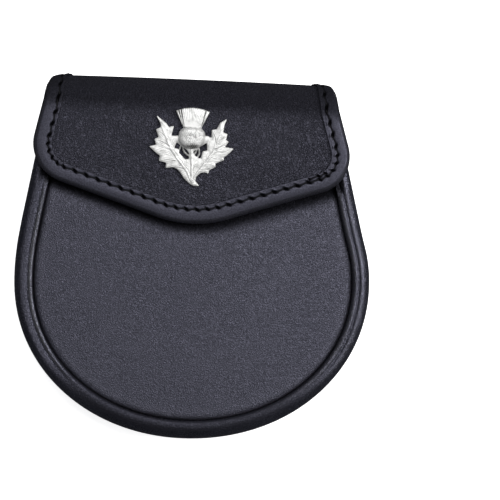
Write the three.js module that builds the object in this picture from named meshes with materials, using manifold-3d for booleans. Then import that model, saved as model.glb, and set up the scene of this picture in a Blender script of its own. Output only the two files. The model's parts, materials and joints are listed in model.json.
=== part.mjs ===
// A black leather day sporran: a flat-fronted pouch with a rolled gusset, a bound flap and a thistle badge.
// Millimetres. It lies on its back: +Z is up out of the front, +Y is towards the fold of the flap.
import * as THREE from "three";
import * as BufferGeometryUtils from "three/addons/utils/BufferGeometryUtils.js";
import Module from "manifold-3d";

const wasm = await Module();
wasm.setup();

// Body of the pouch, seen from the front
const BODY_WIDTH = 184.8;
const WAIST_TO_BOTTOM = 81.6;
const WAIST_TO_MOUTH = 91.5;
const ROUND_EXPONENT = 2.05;
const SHOULDER_RADIUS = 100;
const TAPER_DEG = 12;
const DEPTH = 36;
const WAIST_Y = -12;

// The whole top is set slightly askew: it drops to the right above the waist
const SKEW_DEG = 2.45;
const SKEW_LENGTH = 32;

// Leather, seams and clearances
const BODY_LEATHER = 2;
const GAP = 0.3;
const ROLL_WIDTH = 9.4;
const ROLL_HEIGHT = 7;
const BACK_ROLL_HEIGHT = 8.5;
const SIDE_CREASE = 0.9;
const SEAM_DEPTH = 3.4;
const SEAM_ALLOWANCE = 5.6;
const BACK_SEAM = 4.6;
const BACK_RECESS = 6;
const FRONT_CROWN = 1.3;
const FRONT_TOP_DROP = 9.5;
const END_BULGE = 7.5;

// Flap, measured to the outer rim of its binding
const FLAP_WIDTH = 164.2;
const FLAP_LENGTH = 61.7;
const FLAP_LEATHER = 2;
const EDGE_SLOPE_DEG = 18.2;
const TIP_RADIUS = 60;
const CORNER_RADIUS = 20;
const SIDE_SLOPE_DEG = 14.5;
const FLAP_SAG = 1.5;
const FOLD_RADIUS = 11;
const BACK_FOLD_RADIUS = 9;
const FOLD_TAPER_DEG = 9;
const FOLD_EASE = 2.6;
const FOLD_EASE_WIDTH = 14;
const TAIL_LENGTH = 18;
const TAIL_MARGIN = 2;

// Strip round the flap's edge
const BINDING_WIDTH = 9.3;
const BINDING_LEATHER = 0.9;
const BINDING_GAP = 0.25;
const RIM_ROUND = 1.9;

// Thistle badge
const BADGE_WIDTH = 43.3;
const BADGE_HEIGHT = 40.4;
const BADGE_PLATE = 1.7;
const BADGE_RIB = 0.9;
const BADGE_BULB = 5.4;
const BADGE_TUFT = 3;
const BADGE_BELOW_FOLD = 21.7;
const POST_RADIUS = 1.5;
const POST_REACH = 1.4;

// Closing stud between the flap and the front panel
const STUD_ABOVE_TIP = 14;
const STUD_HEAD_RADIUS = 4.5;
const STUD_SHANK_RADIUS = 1.6;
const STUD_FLANGE = 0.8;

// Rings on the back and the folded tabs that hold them
const RING_SPACING = 84;
const RING_INSIDE_WIDTH = 19;
const RING_INSIDE_HEIGHT = 11;
const RING_CORNER = 2;
const WIRE_RADIUS = 1.2;
const TAB_WIDTH = 15;
const TAB_LENGTH = 15;
const TAB_LEATHER = 1;

// Section of the front roll, from the seam to the side: lengths are shares of the roll's width and height,
// and faces is the way that the leather faces, in degrees up from straight outwards.
const FRONT_ROLL = [
  { across: 0.95, below: 0.19, faces: 145 },
  { across: 0.86, below: 0.05, faces: 112 },
  { across: 0.78, below: 0.06, faces: 98 },
  { across: 0.67, below: 0.15, faces: 95 },
  { across: 0.55, below: 0.05, faces: 92 },
  { across: 0.42, below: 0.0, faces: 84 },
  { across: 0.22, below: 0.11, faces: 58 },
  { across: 0.07, below: 0.4, faces: 22 },
  { across: 0.0, below: 1.0, faces: 0 },
];

// Section of the back roll, from the side to the seam, pressed flat where the pouch lies on it
const BACK_ROLL = [
  { across: 0.0, above: 1.0, faces: 0 },
  { across: 0.07, above: 0.4, faces: -22 },
  { across: 0.2, above: 0.11, faces: -50 },
  { across: 0.4, above: 0.0, faces: -86 },
  { across: 0.74, above: 0.0, faces: -94 },
  { across: 0.92, above: 0.18, faces: -135 },
];

// Front panel's turned edge, from its lip to its flat, on the outer and the inner face: in from the seam and
// down from the flat's outer face, as shares of the leather's thickness
const PANEL_TURN = [
  { outerIn: 0.0, outerDown: 2.8, innerIn: 1.0, innerDown: 2.8 },
  { outerIn: 0.0, outerDown: 0.55, innerIn: 1.0, innerDown: 1.3 },
  { outerIn: 0.25, outerDown: 0.12, innerIn: 1.2, innerDown: 1.06 },
  { outerIn: 0.75, outerDown: 0.0, innerIn: 1.5, innerDown: 1.0 },
];

// Outline of the badge's leaves and stem, clockwise from the left leaf's tip. Here and in the tables below,
// across is a share of half the badge's width and up a share of half its height.
const LEAVES = [
  { across: -0.86, up: 0.75 },
  { across: -0.75, up: 0.66 },
  { across: -0.63, up: 0.56 },
  { across: -0.56, up: 0.465 },
  { across: -0.45, up: 0.5 },
  { across: -0.5, up: 0.24 },
  { across: -0.2, up: 0.28 },
  { across: 0.2, up: 0.28 },
  { across: 0.37, up: 0.28 },
  { across: 0.485, up: 0.22 },
  { across: 0.475, up: 0.44 },
  { across: 0.59, up: 0.46 },
  { across: 0.67, up: 0.63 },
  { across: 0.81, up: 0.73 },
  { across: 0.76, up: 0.6 },
  { across: 0.735, up: 0.39 },
  { across: 0.84, up: 0.35 },
  { across: 0.81, up: 0.2 },
  { across: 0.875, up: 0.155 },
  { across: 0.78, up: 0.015 },
  { across: 1.0, up: -0.015 },
  { across: 0.9, up: -0.13 },
  { across: 0.77, up: -0.25 },
  { across: 0.78, up: -0.31 },
  { across: 0.58, up: -0.41 },
  { across: 0.59, up: -0.49 },
  { across: 0.44, up: -0.58 },
  { across: 0.42, up: -0.67 },
  { across: 0.35, up: -0.64 },
  { across: 0.24, up: -0.66 },
  { across: 0.14, up: -0.76 },
  { across: 0.115, up: -0.88 },
  { across: 0.21, up: -1.0 },
  { across: 0.08, up: -0.995 },
  { across: -0.015, up: -0.94 },
  { across: -0.14, up: -0.82 },
  { across: -0.26, up: -0.64 },
  { across: -0.34, up: -0.57 },
  { across: -0.43, up: -0.545 },
  { across: -0.59, up: -0.57 },
  { across: -0.58, up: -0.44 },
  { across: -0.76, up: -0.39 },
  { across: -0.735, up: -0.27 },
  { across: -0.85, up: -0.18 },
  { across: -1.0, up: -0.045 },
  { across: -0.84, up: 0.0 },
  { across: -0.88, up: 0.145 },
  { across: -0.785, up: 0.2 },
  { across: -0.855, up: 0.395 },
  { across: -0.74, up: 0.46 },
  { across: -0.755, up: 0.57 },
];

// Openings between the leaves and the stem
const LEFT_WINDOW = [
  { across: -0.365, up: 0.105 },
  { across: -0.425, up: -0.07 },
  { across: -0.33, up: -0.075 },
  { across: -0.29, up: -0.185 },
  { across: -0.15, up: -0.34 },
  { across: -0.045, up: -0.335 },
  { across: -0.04, up: -0.18 },
  { across: -0.1, up: -0.085 },
  { across: -0.255, up: 0.025 },
];
const RIGHT_WINDOW = [
  { across: 0.37, up: 0.135 },
  { across: 0.39, up: -0.1 },
  { across: 0.28, up: -0.115 },
  { across: 0.24, up: -0.305 },
  { across: 0.175, up: -0.295 },
  { across: 0.05, up: -0.21 },
  { across: 0.04, up: -0.12 },
  { across: 0.21, up: 0.01 },
];

// Raised ribs: a line of points, with the rib's half width at each as a share of half the badge's width
const LEFT_RIB = [
  { across: -0.84, up: 0.72, half: 0.008 },
  { across: -0.66, up: 0.32, half: 0.03 },
  { across: -0.5, up: -0.06, half: 0.035 },
  { across: -0.32, up: -0.33, half: 0.035 },
  { across: -0.09, up: -0.63, half: 0.04 },
  { across: 0.05, up: -0.93, half: 0.03 },
];
const RIGHT_RIB = [
  { across: 0.8, up: 0.7, half: 0.008 },
  { across: 0.66, up: 0.3, half: 0.03 },
  { across: 0.52, up: -0.14, half: 0.035 },
  { across: 0.34, up: -0.42, half: 0.035 },
  { across: 0.18, up: -0.66, half: 0.04 },
  { across: 0.06, up: -0.9, half: 0.02 },
];
const STEM_RIB = [
  { across: 0.0, up: -0.02, half: 0.03 },
  { across: 0.02, up: -0.35, half: 0.035 },
  { across: 0.04, up: -0.85, half: 0.02 },
];

// Bulb and tuft of the thistle, and where its two posts stand
const BULB = { across: 0, up: 0.235, halfWidth: 0.31, halfHeight: 0.27 };
const TUFT = { foot: 0.47, head: 0.91, crown: 0.095, footHalf: 0.2, headHalf: 0.395, ribs: 9 };
const POSTS = [
  { across: 0.0, up: 0.3 },
  { across: 0.02, up: -0.5 },
];

const radians = THREE.MathUtils.degToRad;
const halfWidth = BODY_WIDTH / 2;
const frontSeam = DEPTH - SEAM_DEPTH;
const mouthY = WAIST_Y + WAIST_TO_MOUTH;
const frontTopY = mouthY - FRONT_TOP_DROP;
const panelInset = ROLL_WIDTH + GAP;

// Flap levels: the binding's lower layer passes over the front roll, and the tail lies on the back panel
const rimHalf = FLAP_LEATHER / 2 + BINDING_GAP + BINDING_LEATHER;
const flapLevel = DEPTH + GAP + BINDING_LEATHER + BINDING_GAP;
const tailLevel = BACK_RECESS - GAP;
const foldY = mouthY + GAP;
const tipY = foldY - FLAP_LENGTH;
const foldArc = (FOLD_RADIUS * Math.PI) / 2;
const backFoldArc = (BACK_FOLD_RADIUS * Math.PI) / 2;
const foldDrop = flapLevel - tailLevel - FOLD_RADIUS - BACK_FOLD_RADIUS;
const backFoldStart = foldY + foldArc + foldDrop;
const tailStart = backFoldStart + backFoldArc;
const tailEndY = foldY + FOLD_RADIUS - BACK_FOLD_RADIUS - TAIL_LENGTH;

// Steps between two values, both ends included
function steps(from, to, count) {
  return Array.from({ length: count + 1 }, (_, i) => from + ((to - from) * i) / count);
}

// Half of the body's outline, from a height above the waist down to the bottom: a straight taper, a
// shoulder arc and a superellipse quarter, each point with the outward direction there.
function halfOutline(topY) {
  const taper = radians(TAPER_DEG);
  const outline = [];
  const arcTop = {
    x: halfWidth - SHOULDER_RADIUS * (1 - Math.cos(taper)),
    y: WAIST_Y + SHOULDER_RADIUS * Math.sin(taper),
  };
  for (const y of steps(topY, arcTop.y, 3).slice(0, -1)) {
    const x = arcTop.x - (y - arcTop.y) * Math.tan(taper);
    outline.push({ x, y, nx: Math.cos(taper), ny: Math.sin(taper) });
  }
  for (const angle of steps(taper, 0, 3).slice(0, -1)) {
    const nx = Math.cos(angle);
    const ny = Math.sin(angle);
    const x = halfWidth - SHOULDER_RADIUS * (1 - nx);
    outline.push({ x, y: WAIST_Y + SHOULDER_RADIUS * ny, nx, ny });
  }
  for (const angle of steps(0, Math.PI / 2, 15)) {
    const across = Math.cos(angle) ** (2 / ROUND_EXPONENT);
    const down = Math.sin(angle) ** (2 / ROUND_EXPONENT);
    const normal = new THREE.Vector2(
      across ** (ROUND_EXPONENT - 1) / halfWidth,
      -(down ** (ROUND_EXPONENT - 1)) / WAIST_TO_BOTTOM,
    ).normalize();
    outline.push({
      x: halfWidth * across,
      y: WAIST_Y - WAIST_TO_BOTTOM * down,
      nx: normal.x,
      ny: normal.y,
    });
  }
  return outline;
}

// The same half mirrored to the left and joined to it: left top, round the bottom, right top
function bothSides(right) {
  const left = right.map((point) => ({ ...point, x: -point.x, nx: -point.nx }));
  return [...left, ...right.slice(0, -1).reverse()];
}

// Closed body from corners and triangles, turned so that its faces point out
function bodyOf(corners, triangles) {
  let volume = 0;
  for (const [a, b, c] of triangles) {
    volume += corners[a].dot(new THREE.Vector3().crossVectors(corners[b], corners[c]));
  }
  const facing = volume < 0 ? triangles.map(([a, b, c]) => [a, c, b]) : triangles;
  const geometry = new THREE.BufferGeometry().setFromPoints(corners);
  geometry.setIndex(facing.flat());
  return geometry;
}

// A wall of leather between two faces on one grid: place(i, j, side) gives a corner, side 1 being the
// outer face. An edge that only one triangle uses is a cut edge and gets a strip that joins the faces.
function leatherWall(columns, rows, place) {
  const outer = [];
  const inner = [];
  const known = new Map();
  const index = [];
  for (let i = 0; i < columns; i += 1) {
    for (let j = 0; j < rows; j += 1) {
      const corner = place(i, j, 1);
      const key = corner.toArray().map((value) => value.toFixed(3)).join();
      if (!known.has(key)) {
        known.set(key, outer.length);
        outer.push(corner);
        inner.push(place(i, j, 0));
      }
      index.push(known.get(key));
    }
  }
  const sheet = [];
  for (let i = 0; i + 1 < columns; i += 1) {
    for (let j = 0; j + 1 < rows; j += 1) {
      const a = index[i * rows + j];
      const b = index[(i + 1) * rows + j];
      const c = index[(i + 1) * rows + j + 1];
      const d = index[i * rows + j + 1];
      sheet.push([a, b, c], [a, c, d]);
    }
  }
  const whole = sheet.filter(([a, b, c]) => a !== b && b !== c && a !== c);
  const edges = new Set(whole.flatMap(([a, b, c]) => [`${a},${b}`, `${b},${c}`, `${c},${a}`]));
  const n = outer.length;
  const triangles = whole.flatMap(([a, b, c]) => [
    [a, b, c],
    [c + n, b + n, a + n],
  ]);
  for (const edge of edges) {
    const [a, b] = edge.split(",").map(Number);
    if (!edges.has(`${b},${a}`)) {
      triangles.push([b, a, a + n], [b, a + n, b + n]);
    }
  }
  return bodyOf([...outer, ...inner], triangles);
}

// Round wire along a closed flat path, as one body
function closedWire(path, radius, sides) {
  const corners = [];
  const triangles = [];
  const count = path.length;
  for (let i = 0; i < count; i += 1) {
    const ahead = path[(i + 1) % count];
    const behind = path[(i + count - 1) % count];
    const along = new THREE.Vector2().subVectors(ahead, behind).normalize();
    for (let j = 0; j < sides; j += 1) {
      const angle = (2 * Math.PI * j) / sides;
      const out = radius * Math.cos(angle);
      const up = radius * Math.sin(angle);
      corners.push(new THREE.Vector3(path[i].x + along.y * out, path[i].y - along.x * out, up));
      const next = ((i + 1) % count) * sides;
      const turn = (j + 1) % sides;
      triangles.push([i * sides + j, next + j, next + turn]);
      triangles.push([i * sides + j, next + turn, i * sides + turn]);
    }
  }
  return bodyOf(corners, triangles);
}

// Manifold solid of a closed geometry, whose doubled corners and empty triangles are merged first
function solidOf(geometry) {
  const bare = geometry.clone();
  bare.deleteAttribute("normal");
  bare.deleteAttribute("uv");
  const merged = BufferGeometryUtils.mergeVertices(bare, 1e-4);
  const places = merged.attributes.position;
  const corners = [];
  for (let i = 0; i < places.count; i += 1) {
    corners.push(new THREE.Vector3().fromBufferAttribute(places, i));
  }
  const triangles = [];
  for (let i = 0; i < merged.index.count; i += 3) {
    const [a, b, c] = merged.index.array.slice(i, i + 3);
    if (a !== b && b !== c && a !== c) {
      triangles.push([a, b, c]);
    }
  }
  const body = bodyOf(corners, triangles);
  return new wasm.Manifold(
    new wasm.Mesh({
      numProp: 3,
      vertProperties: Float32Array.from(body.attributes.position.array),
      triVerts: Uint32Array.from(body.index.array),
    }),
  );
}

function geometryOf(solid) {
  const mesh = solid.getMesh();
  const geometry = new THREE.BufferGeometry();
  geometry.setAttribute("position", new THREE.BufferAttribute(mesh.vertProperties, mesh.numProp));
  geometry.setIndex(new THREE.BufferAttribute(mesh.triVerts, 1));
  return geometry;
}

// Every corner of a geometry moved by one rule
function moved(geometry, rule) {
  const corners = geometry.attributes.position;
  const corner = new THREE.Vector3();
  for (let i = 0; i < corners.count; i += 1) {
    const place = rule(corner.fromBufferAttribute(corners, i));
    corners.setXYZ(i, place.x, place.y, place.z);
  }
  return geometry;
}

// The askew top: a point drops in proportion to how far right it is, fading out at the waist
function skewed(point) {
  const share = THREE.MathUtils.smoothstep(point.y, WAIST_Y, WAIST_Y + SKEW_LENGTH);
  const drop = point.x * Math.tan(radians(SKEW_DEG)) * share;
  return new THREE.Vector3(point.x, point.y - drop, point.z);
}

// How far the flap sags between the rolls at a place on its front
function sagAt(x, y) {
  const across = Math.max(0, 1 - (x / (halfWidth - 2 * ROLL_WIDTH)) ** 2);
  return FLAP_SAG * across * (1 - THREE.MathUtils.smoothstep(y, tipY, foldY));
}

// Flat flap to folded flap: x across, s along from the tip's side, h up from the inner face. Up to the
// fold s is y, then the leather turns down over the front arc, down a straight drop, round the back arc
// and along the tail. Near the side edges the fold eases in.
function folded({ x, y: s, z: h }) {
  if (s <= foldY) {
    return new THREE.Vector3(x, s, flapLevel + h - sagAt(x, s));
  }
  const nearEdge = (Math.abs(x) - foldHalf(s) + FOLD_EASE_WIDTH) / FOLD_EASE_WIDTH;
  const ease = FOLD_EASE * Math.max(0, nearEdge) ** 2;
  const frontTurn = Math.min(1, (s - foldY) / foldArc) * (Math.PI / 2);
  const backTurn = THREE.MathUtils.clamp((s - backFoldStart) / backFoldArc, 0, 1) * (Math.PI / 2);
  const drop = THREE.MathUtils.clamp(s - foldY - foldArc, 0, foldDrop);
  const tail = Math.max(0, s - tailStart);
  if (backTurn === 0) {
    const reach = (FOLD_RADIUS + h) * Math.sin(frontTurn);
    const level = flapLevel - FOLD_RADIUS + (FOLD_RADIUS + h) * Math.cos(frontTurn) - drop;
    return new THREE.Vector3(x, foldY + reach - ease * Math.sin(frontTurn), level);
  }
  const reach = (BACK_FOLD_RADIUS + h) * Math.cos(backTurn) + FOLD_RADIUS - BACK_FOLD_RADIUS;
  const level = tailLevel + BACK_FOLD_RADIUS - (BACK_FOLD_RADIUS + h) * Math.sin(backTurn);
  return new THREE.Vector3(x, foldY + reach - tail - ease * Math.cos(backTurn), level);
}

// Half width of the flap's rim past the fold line: a slow taper, then in to the tail round the back arc
function foldHalf(s) {
  const start = cornerEnd().x - (foldY - cornerEnd().y) * Math.tan(radians(SIDE_SLOPE_DEG));
  const taper = start - (Math.min(s, backFoldStart) - foldY) * Math.tan(radians(FOLD_TAPER_DEG));
  const share = THREE.MathUtils.smoothstep(s, backFoldStart, tailStart);
  return THREE.MathUtils.lerp(taper, tailHalf(), share);
}

// The tail stays inside the back roll's seam
function tailHalf() {
  return halfOutline(tailEndY)[0].x - ROLL_WIDTH - TAIL_MARGIN;
}

// Centre of the flap's rounded corner, touching the sloping lower edge and the widest line
function cornerCentre() {
  const slope = radians(EDGE_SLOPE_DEG);
  const tipSide = TIP_RADIUS * Math.sin(slope);
  const tipRise = TIP_RADIUS * (1 - Math.cos(slope));
  const x = FLAP_WIDTH / 2 - CORNER_RADIUS;
  const rise = (CORNER_RADIUS + (x - tipSide) * Math.sin(slope)) / Math.cos(slope);
  return { x, y: tipY + tipRise + rise };
}

function cornerEnd() {
  const side = radians(SIDE_SLOPE_DEG);
  const centre = cornerCentre();
  return {
    x: centre.x + CORNER_RADIUS * Math.cos(side),
    y: centre.y + CORNER_RADIUS * Math.sin(side),
  };
}

// Right half of the flap's rim in flat terms, from the fold line down round the corner to the tip, each
// point with the outward direction there
function halfRim() {
  const slope = radians(EDGE_SLOPE_DEG);
  const centre = cornerCentre();
  const rim = [];
  for (const angle of steps(radians(SIDE_SLOPE_DEG), slope - Math.PI / 2, 6)) {
    const nx = Math.cos(angle);
    const ny = Math.sin(angle);
    rim.push({ x: centre.x + CORNER_RADIUS * nx, y: centre.y + CORNER_RADIUS * ny, nx, ny });
  }
  const from = rim[rim.length - 1];
  const tipSide = TIP_RADIUS * Math.sin(slope);
  const tipRise = TIP_RADIUS * (1 - Math.cos(slope));
  for (const share of [0.35, 0.7]) {
    const x = THREE.MathUtils.lerp(from.x, tipSide, share);
    const y = THREE.MathUtils.lerp(from.y, tipY + tipRise, share);
    rim.push({ x, y, nx: Math.sin(slope), ny: -Math.cos(slope) });
  }
  for (const angle of steps(slope, 0, 2)) {
    const nx = Math.sin(angle);
    const ny = -Math.cos(angle);
    rim.push({ x: TIP_RADIUS * nx, y: tipY + TIP_RADIUS * (1 + ny), nx, ny });
  }
  return rim;
}

// Places along the flap past the fold line, finer round the two arcs
const foldSteps = [
  ...steps(foldY, foldY + foldArc, 6),
  ...steps(foldY + foldArc, backFoldStart, 1).slice(1),
];
const backSteps = [...steps(backFoldStart, tailStart, 5).slice(1), tailStart + TAIL_LENGTH];

function gusset() {
  const section = [
    { inward: ROLL_WIDTH, up: frontSeam - SEAM_ALLOWANCE, faces: 180 },
    { inward: ROLL_WIDTH, up: frontSeam, faces: 175 },
    ...FRONT_ROLL.map((row) => ({
      inward: row.across * ROLL_WIDTH,
      up: DEPTH - row.below * ROLL_HEIGHT,
      faces: row.faces,
    })),
    { inward: SIDE_CREASE, up: DEPTH / 2, faces: 0 },
    ...BACK_ROLL.map((row) => ({
      inward: row.across * ROLL_WIDTH,
      up: row.above * BACK_ROLL_HEIGHT,
      faces: row.faces,
    })),
    { inward: ROLL_WIDTH, up: BACK_SEAM, faces: -175 },
    { inward: ROLL_WIDTH, up: BACK_RECESS + SEAM_ALLOWANCE, faces: -180 },
  ];
  const path = bothSides(halfOutline(mouthY));
  return leatherWall(path.length, section.length, (i, j, side) => {
    const row = section[j];
    const thick = side ? 0 : BODY_LEATHER;
    const inward = row.inward + thick * Math.cos(radians(row.faces));
    const up = row.up - thick * Math.sin(radians(row.faces));
    const atEnd = i === 0 || i === path.length - 1;
    const bulge = atEnd ? END_BULGE * Math.max(0, 1 - ((2 * up) / DEPTH - 1) ** 2) : 0;
    const { x, y, nx, ny } = path[i];
    const along = Math.sign(x) * bulge;
    const rise = Math.abs(nx * along);
    return new THREE.Vector3(x - nx * inward - ny * along, y - ny * inward + rise, up);
  });
}

// A panel with the body's outline: columns run round the U and rows from its edge in to the middle line
function panel(topY, turn, shares, heightOf) {
  const path = bothSides(halfOutline(topY));
  return leatherWall(path.length, turn.length + shares.length, (i, j, side) => {
    const { x, y, nx, ny } = path[i];
    const row = turn[Math.min(j, turn.length - 1)];
    const inward = panelInset + BODY_LEATHER * (side ? row.outerIn : row.innerIn);
    const down = BODY_LEATHER * (side ? row.outerDown : row.innerDown);
    const atTop = i === 0 || i === path.length - 1;
    const edge = atTop
      ? new THREE.Vector2(x - inward / nx, y)
      : new THREE.Vector2(x - nx * inward, y - ny * inward);
    const share = j < turn.length ? 0 : shares[j - turn.length];
    edge.lerp(new THREE.Vector2(0, Math.max(WAIST_Y, edge.y)), share);
    return new THREE.Vector3(edge.x, edge.y, heightOf(share) - down);
  });
}

function frontPanel() {
  const crowned = (share) => frontSeam + FRONT_CROWN * (1 - (1 - share) ** 2);
  const sheet = panel(frontTopY, PANEL_TURN, [0.15, 0.4, 0.7, 1], crowned);
  const radius = STUD_SHANK_RADIUS + GAP;
  const hole = new THREE.CylinderGeometry(radius, radius, DEPTH, 12);
  hole.rotateX(Math.PI / 2);
  hole.translate(0, tipY + STUD_ABOVE_TIP, DEPTH);
  return geometryOf(solidOf(sheet).subtract(solidOf(hole)));
}

function backPanel() {
  const flat = [{ outerIn: 0, outerDown: 0, innerIn: 0, innerDown: -1 }];
  return panel(mouthY, flat, [0.5, 1], () => BACK_RECESS);
}

function flap() {
  const rim = bothSides(halfRim());
  const lengths = [0];
  for (let i = 1; i < rim.length; i += 1) {
    lengths.push(lengths[i - 1] + Math.hypot(rim[i].x - rim[i - 1].x, rim[i].y - rim[i - 1].y));
  }
  const across = lengths.map((length) => (2 * length) / lengths[lengths.length - 1] - 1);
  const shares = [0, 0.12, 0.4, 0.7];
  const past = [...foldSteps, ...backSteps];
  const sheet = leatherWall(rim.length, shares.length + past.length, (i, j, side) => {
    const height = side * FLAP_LEATHER;
    if (j < shares.length) {
      const { x, y, nx, ny } = rim[i];
      const edge = new THREE.Vector2(x - nx * RIM_ROUND, y - ny * RIM_ROUND);
      edge.lerp(new THREE.Vector2(across[i] * (foldHalf(foldY) - RIM_ROUND), foldY), shares[j]);
      return folded(new THREE.Vector3(edge.x, edge.y, height));
    }
    const s = past[j - shares.length];
    return folded(new THREE.Vector3(across[i] * (foldHalf(s) - RIM_ROUND), s, height));
  });
  const holes = POSTS.map((post) => onFlap(postGeometry(post, POST_RADIUS + GAP, 3 * FLAP_LEATHER)));
  return geometryOf(holes.reduce((solid, hole) => solid.subtract(solidOf(hole)), solidOf(sheet)));
}

function flapBinding() {
  const side = foldSteps.map((s) => ({ x: foldHalf(s), y: s, nx: 1, ny: 0 }));
  const path = bothSides([...side.reverse(), ...halfRim()]);
  const section = [
    { turn: 90, flat: 1 },
    { turn: 90, flat: 0 },
    { turn: 55, flat: 0 },
    { turn: 20, flat: 0 },
    { turn: -20, flat: 0 },
    { turn: -55, flat: 0 },
    { turn: -90, flat: 0 },
    { turn: -90, flat: 1 },
  ];
  return leatherWall(path.length, section.length, (i, j, side) => {
    const { turn, flat } = section[j];
    const thin = side ? 0 : BINDING_LEATHER;
    const round = thin + (RIM_ROUND - thin) * (1 - Math.cos(radians(turn)));
    const inward = flat ? BINDING_WIDTH : round;
    const height = FLAP_LEATHER / 2 + (rimHalf - thin) * Math.sin(radians(turn));
    const { x, y, nx, ny } = path[i];
    return folded(new THREE.Vector3(x - nx * inward, y - ny * inward, height));
  });
}

// Badge terms to flat flap terms: the badge is turned by the skew, so that it stands square to the flap
function onFlap(geometry) {
  const turn = Math.tan(radians(SKEW_DEG));
  return moved(geometry, ({ x, y, z }) =>
    folded(new THREE.Vector3(x + y * turn, foldY - BADGE_BELOW_FOLD + y, z)),
  );
}

function badgePoint({ across, up }) {
  return new THREE.Vector2((across * BADGE_WIDTH) / 2, (up * BADGE_HEIGHT) / 2);
}

// A plate of the badge between two heights above its back
function badgePlate(points, foot, head, windows = []) {
  const shape = new THREE.Shape(THREE.ShapeUtils.isClockWise(points) ? [...points].reverse() : points);
  shape.holes = windows.map((window) => new THREE.Path(window));
  const plate = new THREE.ExtrudeGeometry(shape, { depth: head - foot, bevelEnabled: false });
  plate.translate(0, 0, foot);
  return plate;
}

// Outline of a rib: its line with the half width to the left, then back along the right
function ribOutline(line) {
  const places = line.map(badgePoint);
  const sides = places.map((place, i) => {
    const along = new THREE.Vector2().subVectors(
      places[Math.min(i + 1, places.length - 1)],
      places[Math.max(i - 1, 0)],
    );
    along.normalize().multiplyScalar((line[i].half * BADGE_WIDTH) / 2);
    return [
      new THREE.Vector2(place.x - along.y, place.y + along.x),
      new THREE.Vector2(place.x + along.y, place.y - along.x),
    ];
  });
  return [...sides.map(([left]) => left), ...sides.map(([, right]) => right).reverse()];
}

// The bulb: a low dome on an oval foot
function bulbGeometry() {
  const profile = [new THREE.Vector2(0, 0)];
  for (const angle of steps(0, Math.PI / 2, 5)) {
    profile.push(new THREE.Vector2(Math.max(0, Math.cos(angle)), Math.sin(angle)));
  }
  profile[profile.length - 1].x = 0;
  const dome = new THREE.LatheGeometry(profile, 18);
  dome.rotateX(Math.PI / 2);
  dome.scale((BULB.halfWidth * BADGE_WIDTH) / 2, (BULB.halfHeight * BADGE_HEIGHT) / 2, BADGE_BULB);
  const centre = badgePoint(BULB);
  dome.translate(centre.x, centre.y, 0);
  return dome;
}

// Across and up on the tuft: side runs from -1 to 1, rise from 0 at the foot to 1 at its curved head
function tuftPoint(side, rise) {
  const half = THREE.MathUtils.lerp(TUFT.footHalf, TUFT.headHalf, rise);
  const up = THREE.MathUtils.lerp(TUFT.foot, TUFT.head + TUFT.crown * (1 - side ** 2), rise);
  return badgePoint({ across: side * half, up });
}

// The tuft: a fan with a curved head and a raised rib on each bundle of bristles
function tuftPlates() {
  const head = steps(-1, 1, 8).map((side) => tuftPoint(side, 1));
  const fan = [tuftPoint(1, 0), ...head.reverse(), tuftPoint(-1, 0)];
  const plates = [badgePlate(fan, 0, BADGE_TUFT)];
  const pitch = 2 / TUFT.ribs;
  for (let i = 0; i < TUFT.ribs; i += 1) {
    const side = -1 + pitch * (i + 0.5);
    const edge = 0.3 * pitch;
    const corners = [
      tuftPoint(side - edge, 0),
      tuftPoint(side - edge, 0.97),
      tuftPoint(side + edge, 0.97),
      tuftPoint(side + edge, 0),
    ];
    plates.push(badgePlate(corners.reverse(), BADGE_TUFT / 2, BADGE_TUFT + BADGE_RIB / 2));
  }
  return plates;
}

// A post in badge terms, from above the badge's back down to a reach below it
function postGeometry(post, radius, reach) {
  const foot = badgePoint(post);
  const cylinder = new THREE.CylinderGeometry(radius, radius, reach, 12);
  cylinder.rotateX(Math.PI / 2);
  cylinder.translate(foot.x, foot.y, FLAP_LEATHER / 2);
  return cylinder;
}

function thistleBadge() {
  const back = FLAP_LEATHER + GAP;
  const windows = [LEFT_WINDOW, RIGHT_WINDOW].map((window) => window.map(badgePoint));
  const plates = [
    badgePlate(LEAVES.map(badgePoint), 0, BADGE_PLATE, windows),
    ...[LEFT_RIB, RIGHT_RIB, STEM_RIB].map((line) =>
      badgePlate(ribOutline(line), BADGE_PLATE / 2, BADGE_PLATE + BADGE_RIB),
    ),
    bulbGeometry(),
    ...tuftPlates(),
  ];
  for (const plate of plates) {
    plate.translate(0, 0, back);
  }
  const reach = FLAP_LEATHER + 2 * POST_REACH;
  const posts = POSTS.map((post) => postGeometry(post, POST_RADIUS, reach));
  const solids = [...plates, ...posts].map(solidOf);
  return onFlap(geometryOf(solids.reduce((whole, solid) => whole.add(solid))));
}

// Flange inside the panel, shank through it and head up to the flap, turned on one axis
function flapStud() {
  const y = tipY + STUD_ABOVE_TIP;
  const outside = frontSeam + FRONT_CROWN;
  const inside = outside - BODY_LEATHER - GAP - FRONT_CROWN / 4;
  const head = flapLevel - sagAt(0, y - STUD_HEAD_RADIUS) - GAP;
  const profile = [
    new THREE.Vector2(0, inside - STUD_FLANGE),
    new THREE.Vector2(STUD_HEAD_RADIUS, inside - STUD_FLANGE),
    new THREE.Vector2(STUD_HEAD_RADIUS, inside),
    new THREE.Vector2(STUD_SHANK_RADIUS, inside),
    new THREE.Vector2(STUD_SHANK_RADIUS, outside + GAP),
    new THREE.Vector2(STUD_HEAD_RADIUS, outside + GAP),
    new THREE.Vector2(STUD_HEAD_RADIUS, head),
    new THREE.Vector2(0, head),
  ];
  const stud = new THREE.LatheGeometry(profile, 16);
  stud.rotateX(Math.PI / 2);
  stud.translate(0, y, 0);
  return geometryOf(solidOf(stud));
}

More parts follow.
